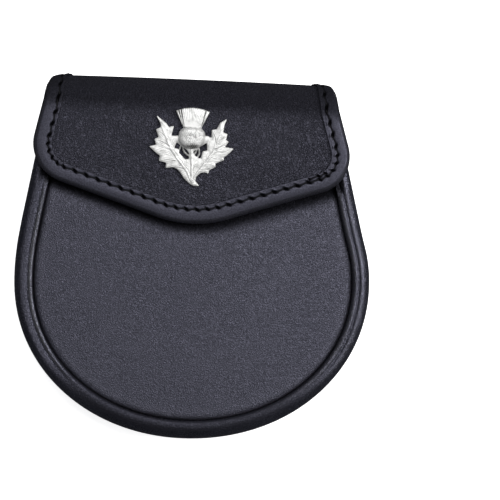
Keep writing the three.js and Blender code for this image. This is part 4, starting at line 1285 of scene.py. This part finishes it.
def leaf_veins():
    """A vein for each barb: from its tip back to the nearest midrib, which it meets lower down."""
    veins = []
    for tip in leaf_tips(badge_places(LEAVES)):
        ribs = [evenly(badge_places(rib), 100) for rib in MIDRIBS[:2]]
        rib = min(ribs, key=lambda line: np.linalg.norm(line - tip, axis=1).min())
        nearest = int(np.linalg.norm(rib - tip, axis=1).argmin())
        if 4 < nearest < 86:
            root = rib[min(99, nearest + 17)]
            middle = lerp(root, tip, 0.5) + 0.06 * np.array([tip[1] - root[1], root[0] - tip[0]])
            veins.append(np.array([root, middle, lerp(root, tip, 0.93)]))
    return veins


def leaf_height(places, edge, veins_depth):
    """Leaves: a plate that falls off towards its edge, with a low midrib beside a fine groove, a shallow vein
    to each barb, and a fine hatch beside the veins. Gives the height and how tarnished each place is."""
    height = BADGE_PLATE * (0.7 + 0.3 * (1 - np.exp(-np.maximum(edge, 0) / 0.0005)))
    tarnish = np.zeros(edge.shape)
    for line in MIDRIBS:
        away, share = line_distance(places, badge_places(line))
        strength = smoothstep(share, 0.3, 0.65)
        height += 0.2 * BADGE_RIB * bell(away, MIDRIB_WIDTH)
        height -= 0.3 * veins_depth * strength * bell(away - 0.00075, VEIN_WIDTH)
        tarnish += 0.14 * strength * bell(away - 0.00075, 0.0002)
    nearest = np.full(edge.shape, 0.004)
    for number, vein in enumerate(leaf_veins()):
        away, share = line_distance(places, vein)
        strength = (0.35 + 0.65 * (number * 0.618 % 1)) * np.sin(np.pi * np.clip(0.15 + 0.8 * share, 0, 1))
        height -= veins_depth * strength * bell(away, VEIN_WIDTH)
        tarnish += 0.5 * strength * bell(away, 0.00018)
        nearest = np.minimum(nearest, away)
    hatch = np.sin(2 * np.pi * nearest / HATCH_PITCH + 2.5 * np.sin(900 * places[..., 0]))
    hatch = hatch * (0.65 + 0.35 * np.sin(1400 * places[..., 1] + 800 * places[..., 0]))
    return height + FINE_RELIEF * hatch, tarnish + 0.1 * (1 - hatch)


def bulb_height(places):
    """Bulb: a dome whose height is (1 - r^5)^0.5, fuller above its middle than below, under rows of small
    uneven scales set half a scale apart. Each scale rises to its tip and ends in a step. Its foot is dark with
    tarnish."""
    centre = badge_places((BULB["across"], BULB["up"]))
    size = badge_places((BULB["half_width"], BULB["half_height"]))
    at = (places - centre) / size
    power = np.where(at[..., 1] > 0, 2.7, 2.0)
    radius = np.sum(np.abs(at) ** power[..., None], axis=-1) ** (1 / power)
    dome = np.sqrt(np.clip(1 - radius**5, 0, 1))
    row = at[..., 1] * 7 + 0.12 * np.sin(17 * at[..., 0])
    column = at[..., 0] * 7 * (1 + 0.15 * at[..., 0] ** 2) + 0.15 * np.sin(2.4 * row)
    column = column + 0.5 * (np.floor(row) % 2)
    middle = 1 - np.abs(2 * (column % 1) - 1)
    rise = row % 1
    tip = np.clip(1.25 - rise - 0.5 * (1 - middle), 0, 0.25) * 4
    scales = np.sqrt(middle) * rise * tip
    uneven = 2 * (437.585 * np.sin(12.99 * np.floor(column) + 78.23 * np.floor(row)) % 1) - 1
    height = BADGE_BULB * (0.12 + 0.88 * dome) - SCALE_RELIEF + SCALE_RELIEF * scales * (1 + 0.5 * uneven)
    # Less tarnish towards the bulb's rim is painted light that offsets the shade on its steep sides
    tarnish = (0.2 + 0.26 * uneven) * (1 - scales) ** 2 - 0.35 * radius**2
    tarnish += 1.5 * bell(at[..., 0] - 0.1, 0.42) * bell(at[..., 1] + 0.78, 0.24) * (1 - 0.5 * scales)
    tarnish += 0.4 * bell(at[..., 1] - 0.97, 0.1)
    return np.where(radius < 1, height, 0), (radius - 1) * min(size), tarnish


def tuft_outline():
    """Fan of the tuft: straight sides and a head curved as crown (1 - side^2)."""
    side = np.linspace(-1, 1, 25)
    head = np.column_stack([side * TUFT["head_half"], TUFT["head"] + TUFT["crown"] * (1 - side**2)])
    foot = [(TUFT["foot_half"], TUFT["foot"]), (-TUFT["foot_half"], TUFT["foot"])]
    return badge_places(np.vstack([head, foot]))


def tuft_height(places):
    """Tuft: a low arch across, with fine bristles that fan out from its foot and a few deep grooves near its
    sides. Gives the height and how tarnished each place is."""
    at = places / np.array([BADGE_HALF_WIDTH, BADGE_HALF_HEIGHT])
    rise = np.clip((at[..., 1] - TUFT["foot"]) / (TUFT["head"] - TUFT["foot"]), -0.5, 1.4)
    side = at[..., 0] / lerp(TUFT["foot_half"], TUFT["head_half"], rise)
    arch = BADGE_TUFT * (0.8 + 0.2 * np.sqrt(np.clip(1 - side**2, 0, 1)))
    bristles = np.sin(side * np.pi * TUFT["bristles"] + 1.3 * np.sin(4 * rise) + 2 * np.sin(3 * side))
    groove = sum(bell(side - lerp(foot, head, rise), 0.035) for foot, head in TUFT_GROOVES)
    fade = 0.35 + 0.65 * np.clip(rise, 0, 1)
    height = arch + FINE_RELIEF * bristles - 0.0006 * groove - 0.0004 * smoothstep(rise, 0.7, 1.25)
    return height, 0.11 * (1 - bristles) * fade + 0.7 * groove * fade


def badge_relief(places, metal):
    """Signed distance to the badge's outline, its height above its flat back, and its tarnish from 0 to 1."""
    leaves = outline_distance(places, badge_places(LEAVES))
    for window in WINDOWS:
        leaves = np.maximum(leaves, -outline_distance(places, badge_places(window)))
    leaves = blurred(leaves, 1.6) - 0.0002
    bulb, bulb_edge, bulb_tarnish = bulb_height(places)
    tuft_edge = outline_distance(places, tuft_outline())
    stamens = np.min([line_distance(places, badge_places(line))[0] for line in STAMENS], axis=0)
    stamens = stamens - STAMEN_RADIUS
    whole = np.minimum.reduce([leaves, bulb_edge, tuft_edge, stamens])

    leaf, leaf_tarnish = leaf_height(places, -leaves, metal.veins)
    tuft, tuft_tarnish = tuft_height(places)
    tuft *= np.clip(0.6 - tuft_edge / 0.0008, 0.6, 1)
    wire = 0.0007 + np.sqrt(np.clip(STAMEN_RADIUS**2 - (stamens + STAMEN_RADIUS) ** 2, 0, 1))
    height = np.where(stamens < BADGE_CELL, wire, 0)
    tarnish = np.full(height.shape, 0.6)
    parts = (leaf, leaves, leaf_tarnish), (tuft, tuft_edge, tuft_tarnish), (bulb, bulb_edge, bulb_tarnish)
    for part, edge, dark in parts:
        over = (edge < BADGE_CELL) & (part > height)
        height, tarnish = np.where(over, part, height), np.where(over, dark, tarnish)
    height = np.where(whole < BADGE_CELL, np.maximum(height, LOWEST_RELIEF), 0)
    hollow = np.clip((blurred(height, 2.5) - height) / 0.0006, 0, 1)
    return whole, height, np.clip(tarnish + 0.4 * hollow, 0, 1)


def badge_body(metal):
    """Badge as a height above its flat back on a grid of small cells. Cells whose middle lies inside the
    outline are kept, their outer corners are moved onto the outline, and walls join them to the back."""
    x = np.arange(-1.03 * BADGE_HALF_WIDTH, 1.03 * BADGE_HALF_WIDTH, BADGE_CELL)
    y = np.arange(-1.04 * BADGE_HALF_HEIGHT, 1.04 * BADGE_HALF_HEIGHT, BADGE_CELL)
    places = np.stack(np.meshgrid(x, y, indexing="ij"), axis=-1)
    whole, height, tarnish = badge_relief(places, metal)

    kept = whole[:-1, :-1] + whole[1:, :-1] + whole[:-1, 1:] + whole[1:, 1:] < 0
    slope = np.stack(np.gradient(whole, BADGE_CELL), axis=-1)
    steep = np.maximum(np.sum(slope**2, axis=-1, keepdims=True), 0.25)
    touched = np.zeros(whole.shape, int)
    for i, j in ((0, 0), (1, 0), (0, 1), (1, 1)):
        touched[i:i + kept.shape[0], j:j + kept.shape[1]] += kept
    shift = np.where((touched > 0) & (touched < 4), whole, 0)[..., None] * slope / steep
    limit = 0.75 * BADGE_CELL
    places = places - np.clip(shift, -limit, limit)

    rows = places.shape[1]
    count = places.shape[0] * rows
    i, j = np.nonzero(kept)
    a = i * rows + j
    b, c, d = a + rows, a + rows + 1, a + 1
    top = np.concatenate([np.column_stack([a, b, c]), np.column_stack([a, c, d])])
    padded = np.pad(kept, 1)
    walls = []
    for p, q, neighbour in ((a, b, (0, -1)), (b, c, (1, 0)), (c, d, (0, 1)), (d, a, (-1, 0))):
        bare = ~padded[i + 1 + neighbour[0], j + 1 + neighbour[1]]
        p, q = p[bare], q[bare]
        walls += [np.column_stack([q, p, p + count]), np.column_stack([q, p + count, q + count])]
    triangles = np.concatenate([top, top[:, ::-1] + count, *walls])
    flat = places.reshape(-1, 2)
    corners = np.concatenate([
        np.column_stack([flat, height.ravel()]),
        np.column_stack([flat, np.zeros(count)]),
    ])
    used, triangles = np.unique(triangles, return_inverse=True)
    # The back's corners take full tarnish, so the side walls darken towards the back: partly tarnish, partly
    # painted shade round the badge's outline
    marks = np.concatenate([tarnish.ravel(), np.ones(count)])[used]
    return corners[used], triangles.reshape(-1, 3), marks


def badge_on_flap(corners):
    """Badge terms to their place on the flap: turned with the askew top, so that it stands square to it."""
    x, y, z = corners.T
    return folded(x + y * math.tan(SKEW), FOLD_Y - BADGE_BELOW_FOLD + y, FLAP_LEATHER + GAP + z)


def post_tubes():
    """Two hidden posts from the badge's back through the flap, with round feet."""
    feet = badge_places(POSTS)
    level = np.linspace(0.0005, -GAP - FLAP_LEATHER - POST_REACH, POST_STATIONS)
    line = np.stack(np.broadcast_arrays(feet[:, None, 0], feet[:, None, 1], level[None]), axis=-1)
    angle = np.linspace(0, 2 * np.pi, 17)
    radius = POST_RADIUS * np.sqrt(np.clip(1 - np.linspace(0, 1, POST_STATIONS) ** 12, 0, 1))
    radius[0] = 0
    ring = np.stack([np.cos(angle), np.sin(angle), 0 * angle], axis=-1)
    return many_grids(line[:, :, None] + radius[None, :, None, None] * ring)


# Rings and tabs


def ring_line():
    """Bar and bow of a ring: a straight bar with two small corner arcs, and half an oval above them."""
    half = RING_INSIDE_WIDTH / 2 + WIRE_RADIUS
    rise = RING_INSIDE_HEIGHT + WIRE_RADIUS
    corner = np.linspace(-np.pi / 2, 0, 16)
    right = np.column_stack([
        half - RING_CORNER + RING_CORNER * np.cos(corner), RING_CORNER + RING_CORNER * np.sin(corner)
    ])
    bow = np.linspace(0, np.pi, 80)
    over = np.column_stack([half * np.cos(bow), RING_CORNER + (rise - RING_CORNER) * np.sin(bow)])
    left = right[::-1] * np.array([-1, 1])
    return evenly(np.vstack([right, over[1:-1], left, right[:1]]), 181)[:-1]


def ring_body(side):
    """Ring as a round wire along its line. Its joint is a shallow groove where the bar's ends meet."""
    line = ring_line() + np.array([side * RING_SPACING / 2, BAR_Y])
    line = np.column_stack([line, np.full(len(line), BAR_LEVEL)])[None]

    def radius_at(station, angle):
        return WIRE_RADIUS - 0.00025 * bell(station - 0.97, 0.003)

    return many_grids(tube(line, radius_at, 20, True))


def tab_wall(side):
    """Folded tab: a strip whose line in side view runs along the back panel, round the ring's bar and back
    under itself, where it is sewn."""
    reach = LOOP_RADIUS - TAB_LEATHER / 2
    turn = np.linspace(np.pi / 2, -np.pi / 2, 14)
    loop = np.column_stack([BAR_Y + reach * np.cos(turn), BAR_LEVEL + reach * np.sin(turn)])
    under = BAR_LEVEL + LOOP_RADIUS - 1.52 * TAB_LEATHER
    start = [(BAR_Y - TAB_LENGTH, loop[0, 1]), (BAR_Y - TAB_LENGTH / 2, loop[0, 1])]
    end = [(BAR_Y - 2 * LOOP_RADIUS, under), (BAR_Y - 3 * LOOP_RADIUS, under), (BAR_Y - TAB_LENGTH, under)]
    line = spline(np.vstack([start, loop, end]), 72)
    along = np.gradient(line, axis=0)
    along /= np.linalg.norm(along, axis=1, keepdims=True)
    normal = np.column_stack([-along[:, 1], along[:, 0]])
    across = np.linspace(-TAB_WIDTH / 2, TAB_WIDTH / 2, 18)[:, None] + side * RING_SPACING / 2

    def face(offset):
        y, z = (line + offset * normal).T[:, None]
        return np.stack(np.broadcast_arrays(across, y, z), axis=-1)

    thick = 0.49 * TAB_LEATHER
    worn = 0.6 * bell(np.linspace(0, 1, 72) - 0.5, 0.1)[None] + 0 * across
    return leather_wall(face(thick), face(-thick), {"worn": worn})


def tab_stitches(stitches):
    """Two short rows of stitches across each tab, on its lower face."""
    under = BAR_LEVEL + LOOP_RADIUS - 2 * TAB_LEATHER
    ends = np.linspace(-TAB_WIDTH / 2 + 0.0015, TAB_WIDTH / 2 - 0.0015, 4)
    rows = (BAR_Y - TAB_LENGTH + 0.002, BAR_Y - 2.6 * LOOP_RADIUS)
    pairs = [stitch_rows(ends + side * RING_SPACING / 2, rows, TAB_STITCH_SHORT) for side in (-1, 1)]
    start, end = (np.vstack(part) for part in zip(*pairs))

    def bend(x, y, height):
        return np.stack([x, y, under - height], axis=-1)

    return stitch_tubes(start, end, 0.0001, TAB_STITCH_DIVE, 0.9 * stitches.thread, bend)


def stage_light(name, place, target, width, length, power):
    """Rectangular area light that faces its target and isn't seen itself."""
    data = bpy.data.lights.new(name, "AREA")
    data.shape = "RECTANGLE"
    data.size, data.size_y = width, length
    data.energy = power
    light = new_object(name, data)
    light.location = place
    aim = light.location - type(light.location)(target)
    light.rotation_mode = "QUATERNION"
    light.rotation_quaternion = aim.to_track_quat("Z", "Y")
    light.visible_camera = False
    return light


# Operators


class SPORRAN_OT_gusset(bpy.types.Operator):
    """Make the rolled gusset round the pouch"""

    bl_idname = "sporran.gusset"
    bl_label = "Gusset"

    def execute(self, context):
        leather = context.scene.sporran_leather
        # The gusset's paler colour is much lighter: it carries painted highlights on the roll's crests as well
        # as wear
        hide = leather_material(
            "Gusset leather", leather.gusset_dye, leather.pebble, leather.grain, 0.7, 0.33, 0.00017,
            specular=0.6, rub_and_sheen=0.12,
        )
        add_piece("gusset_leather", gusset_wall(leather), hide, ["gusset"])
        return {"FINISHED"}


class SPORRAN_OT_panels(bpy.types.Operator):
    """Make the front panel and the back panel"""

    bl_idname = "sporran.panels"
    bl_label = "Panels"

    def execute(self, context):
        leather = context.scene.sporran_leather
        hide = leather_material(
            "Panel leather", leather.panel_dye, 1.4 * leather.grain, leather.grain, 0.35, 0.46, 0.00037,
            specular=0.53,
        )
        for name, wall in (("front_panel", front_panel_wall), ("back_panel", back_panel_wall)):
            add_piece(name + "_leather", wall(leather), hide, [name])
        return {"FINISHED"}


class SPORRAN_OT_flap(bpy.types.Operator):
    """Make the flap and the strip that binds its rim"""

    bl_idname = "sporran.flap"
    bl_label = "Flap and strip"

    def execute(self, context):
        leather = context.scene.sporran_leather
        hide = leather_material(
            "Flap leather", leather.flap_dye, 1.7 * leather.grain, leather.grain, 0.5, 0.44, 0.00065,
            specular=0.43,
        )
        add_piece("flap_leather", flap_wall(), hide, ["flap"])
        hide = leather_material(
            "Strip leather", leather.strip_dye, 1.5 * leather.grain, leather.grain, 0.12, 0.44, 0.00007,
            specular=0.33, pits=True,
        )
        strip = strip_wall(context.scene.sporran_stitches)
        add_piece("flap_strip", strip, hide, ["flap_binding"])
        return {"FINISHED"}


class SPORRAN_OT_stitches(bpy.types.Operator):
    """Make the stitches of the flap, of its tail and of the ring tabs"""

    bl_idname = "sporran.stitches"
    bl_label = "Stitches"

    def execute(self, context):
        stitches = context.scene.sporran_stitches
        thread = thread_material()
        add_piece("flap_stitches", flap_stitches(stitches), thread)
        add_piece("tail_stitches", tail_stitches(stitches), thread)
        add_piece("tab_stitches", tab_stitches(stitches), thread)
        return {"FINISHED"}


class SPORRAN_OT_badge(bpy.types.Operator):
    """Make the pierced thistle badge"""

    bl_idname = "sporran.badge"
    bl_label = "Thistle badge"

    def execute(self, context):
        metal = context.scene.sporran_metal
        silver = metal_material("Cast silver", metal.silver, metal.tarnish, 0.36, 0.00008, 0.3, "recess")
        corners, triangles, recess = badge_body(metal)
        posts, post_triangles = post_tubes()
        triangles = np.concatenate([triangles, post_triangles + len(corners)])
        recess = np.concatenate([recess, np.ones(len(posts))])
        body = badge_on_flap(np.concatenate([corners, posts])), triangles, {"recess": recess}
        add_piece("thistle_badge_silver", body, silver, ["thistle_badge"])
        return {"FINISHED"}


class SPORRAN_OT_rings(bpy.types.Operator):
    """Make the rings and their tabs on the back, and finish the closing stud"""

    bl_idname = "sporran.rings"
    bl_label = "Rings, tabs and stud"

    def execute(self, context):
        leather = context.scene.sporran_leather
        metal = context.scene.sporran_metal
        steel = metal_material("Nickel plated steel", metal.steel, (0.2, 0.19, 0.17), 0.24, 0.00002)
        hide = leather_material(
            "Tab leather", leather.strip_dye, 1.5 * leather.grain, leather.grain, 0.15, 0.48, 0.00006
        )
        for side, word in ((-1, "left"), (1, "right")):
            add_piece("ring_" + word, ring_body(side), steel, ["d_ring_" + word])
            add_piece("tab_" + word, tab_wall(side), hide, ["ring_tab_" + word])
        stud = frame["nodes"]["flap_stud"]
        stud.data.materials.clear()
        stud.data.materials.append(steel)
        return {"FINISHED"}


class SPORRAN_OT_stage(bpy.types.Operator):
    """Make the floor, which is clear from below, the lights and the camera"""

    bl_idname = "sporran.stage"
    bl_label = "Stage"

    def execute(self, context):
        stage = context.scene.sporran_stage
        half = stage.floor / 2
        mesh = bpy.data.meshes.new("floor")
        corners = [(-half, -half, 0), (half, -half, 0), (half, half, 0), (-half, half, 0)]
        mesh.from_pydata(corners, [], [(0, 1, 2, 3)])
        material, tree, shader = new_material("Pale floor")
        fed(tree, shader, {
            "Base Color": FLOOR_COLOUR,
            "Roughness": 0.9,
            "Specular IOR Level": 0.1,
            "Emission Color": WHITE,
            "Emission Strength": FLOOR_GLOW,
        })
        below = tree.nodes.new("ShaderNodeNewGeometry").outputs["Backfacing"]
        clear = tree.nodes.new("ShaderNodeBsdfTransparent").outputs["BSDF"]
        one_sided = node(tree, "MixShader", {0: below, 1: shader.outputs["BSDF"], 2: clear}).outputs[0]
        tree.links.new(one_sided, tree.nodes["Material Output"].inputs["Surface"])
        mesh.materials.append(material)
        floor = new_object("floor", mesh)
        floor.location.z = FLOOR_LEVEL
        floor.visible_glossy = False

        target = (0, 0, DEPTH)
        size = stage.softbox_width, stage.softbox_length
        softbox_place = (SOFTBOX_X, SOFTBOX_Y, stage.softbox_height)
        stage_light("softbox", softbox_place, target, *size, stage.softbox_power)
        size = SIDE_LIGHT_SIZE, SIDE_LIGHT_SIZE
        stage_light("side_light", SIDE_LIGHT_PLACE, target, *size, stage.side_power)
        world = bpy.data.worlds.new("Studio")
        context.scene.world = world
        world.use_nodes = True
        tree = world.node_tree
        tree.nodes.clear()
        seen = tree.nodes.new("ShaderNodeLightPath").outputs["Is Camera Ray"]
        colour = mixed(tree, seen, ROOM_LIGHT, ROOM_SEEN)
        background = node(tree, "Background", {"Color": colour, "Strength": 1.0})
        output = tree.nodes.new("ShaderNodeOutputWorld")
        tree.links.new(background.outputs["Background"], output.inputs["Surface"])
        context.scene.view_settings.view_transform = "Standard"

        camera_data = bpy.data.cameras.new("camera")
        camera = new_object("camera", camera_data)
        camera.location = (VIEW_CENTRE[0], VIEW_CENTRE[1], VIEW_CENTRE[2] + stage.camera_height)
        camera_data.sensor_width = 36.0
        camera_data.lens = camera_data.sensor_width * stage.camera_height / (PHOTO_PIXELS * PIXEL_SIZE)
        camera_data.clip_end = 20.0
        context.scene.camera = camera
        return {"FINISHED"}


OPERATORS = [
    SPORRAN_OT_stage,
    SPORRAN_OT_gusset,
    SPORRAN_OT_panels,
    SPORRAN_OT_flap,
    SPORRAN_OT_stitches,
    SPORRAN_OT_badge,
    SPORRAN_OT_rings,
]
GROUPS = {
    "sporran_leather": SporranLeather,
    "sporran_stitches": SporranStitches,
    "sporran_metal": SporranMetal,
    "sporran_stage": SporranStage,
}


class SPORRAN_PT_sidebar(bpy.types.Panel):
    """Sizes and colours, and a button for each group of pieces"""

    bl_label = "Sporran"
    bl_idname = "SPORRAN_PT_sidebar"
    bl_space_type = "VIEW_3D"
    bl_region_type = "UI"
    bl_category = "Sporran"

    def draw(self, context):
        for name, group in GROUPS.items():
            box = self.layout.box()
            for label in group.__annotations__:
                box.prop(getattr(context.scene, name), label)
        for operator in OPERATORS:
            self.layout.operator(operator.bl_idname)


def register():
    for group in GROUPS.values():
        bpy.utils.register_class(group)
    for operator in OPERATORS:
        bpy.utils.register_class(operator)
    bpy.utils.register_class(SPORRAN_PT_sidebar)
    for name, group in GROUPS.items():
        setattr(bpy.types.Scene, name, PointerProperty(type=group))


def unregister():
    for name in GROUPS:
        delattr(bpy.types.Scene, name)
    bpy.utils.unregister_class(SPORRAN_PT_sidebar)
    for operator in reversed(OPERATORS):
        bpy.utils.unregister_class(operator)
    for group in reversed(GROUPS.values()):
        bpy.utils.unregister_class(group)


def main():
    register()
    bpy.ops.sporran.stage()
    bpy.ops.sporran.gusset()
    bpy.ops.sporran.panels()
    bpy.ops.sporran.flap()
    bpy.ops.sporran.stitches()
    bpy.ops.sporran.badge()
    bpy.ops.sporran.rings()


if __name__ == "__main__":
    main()
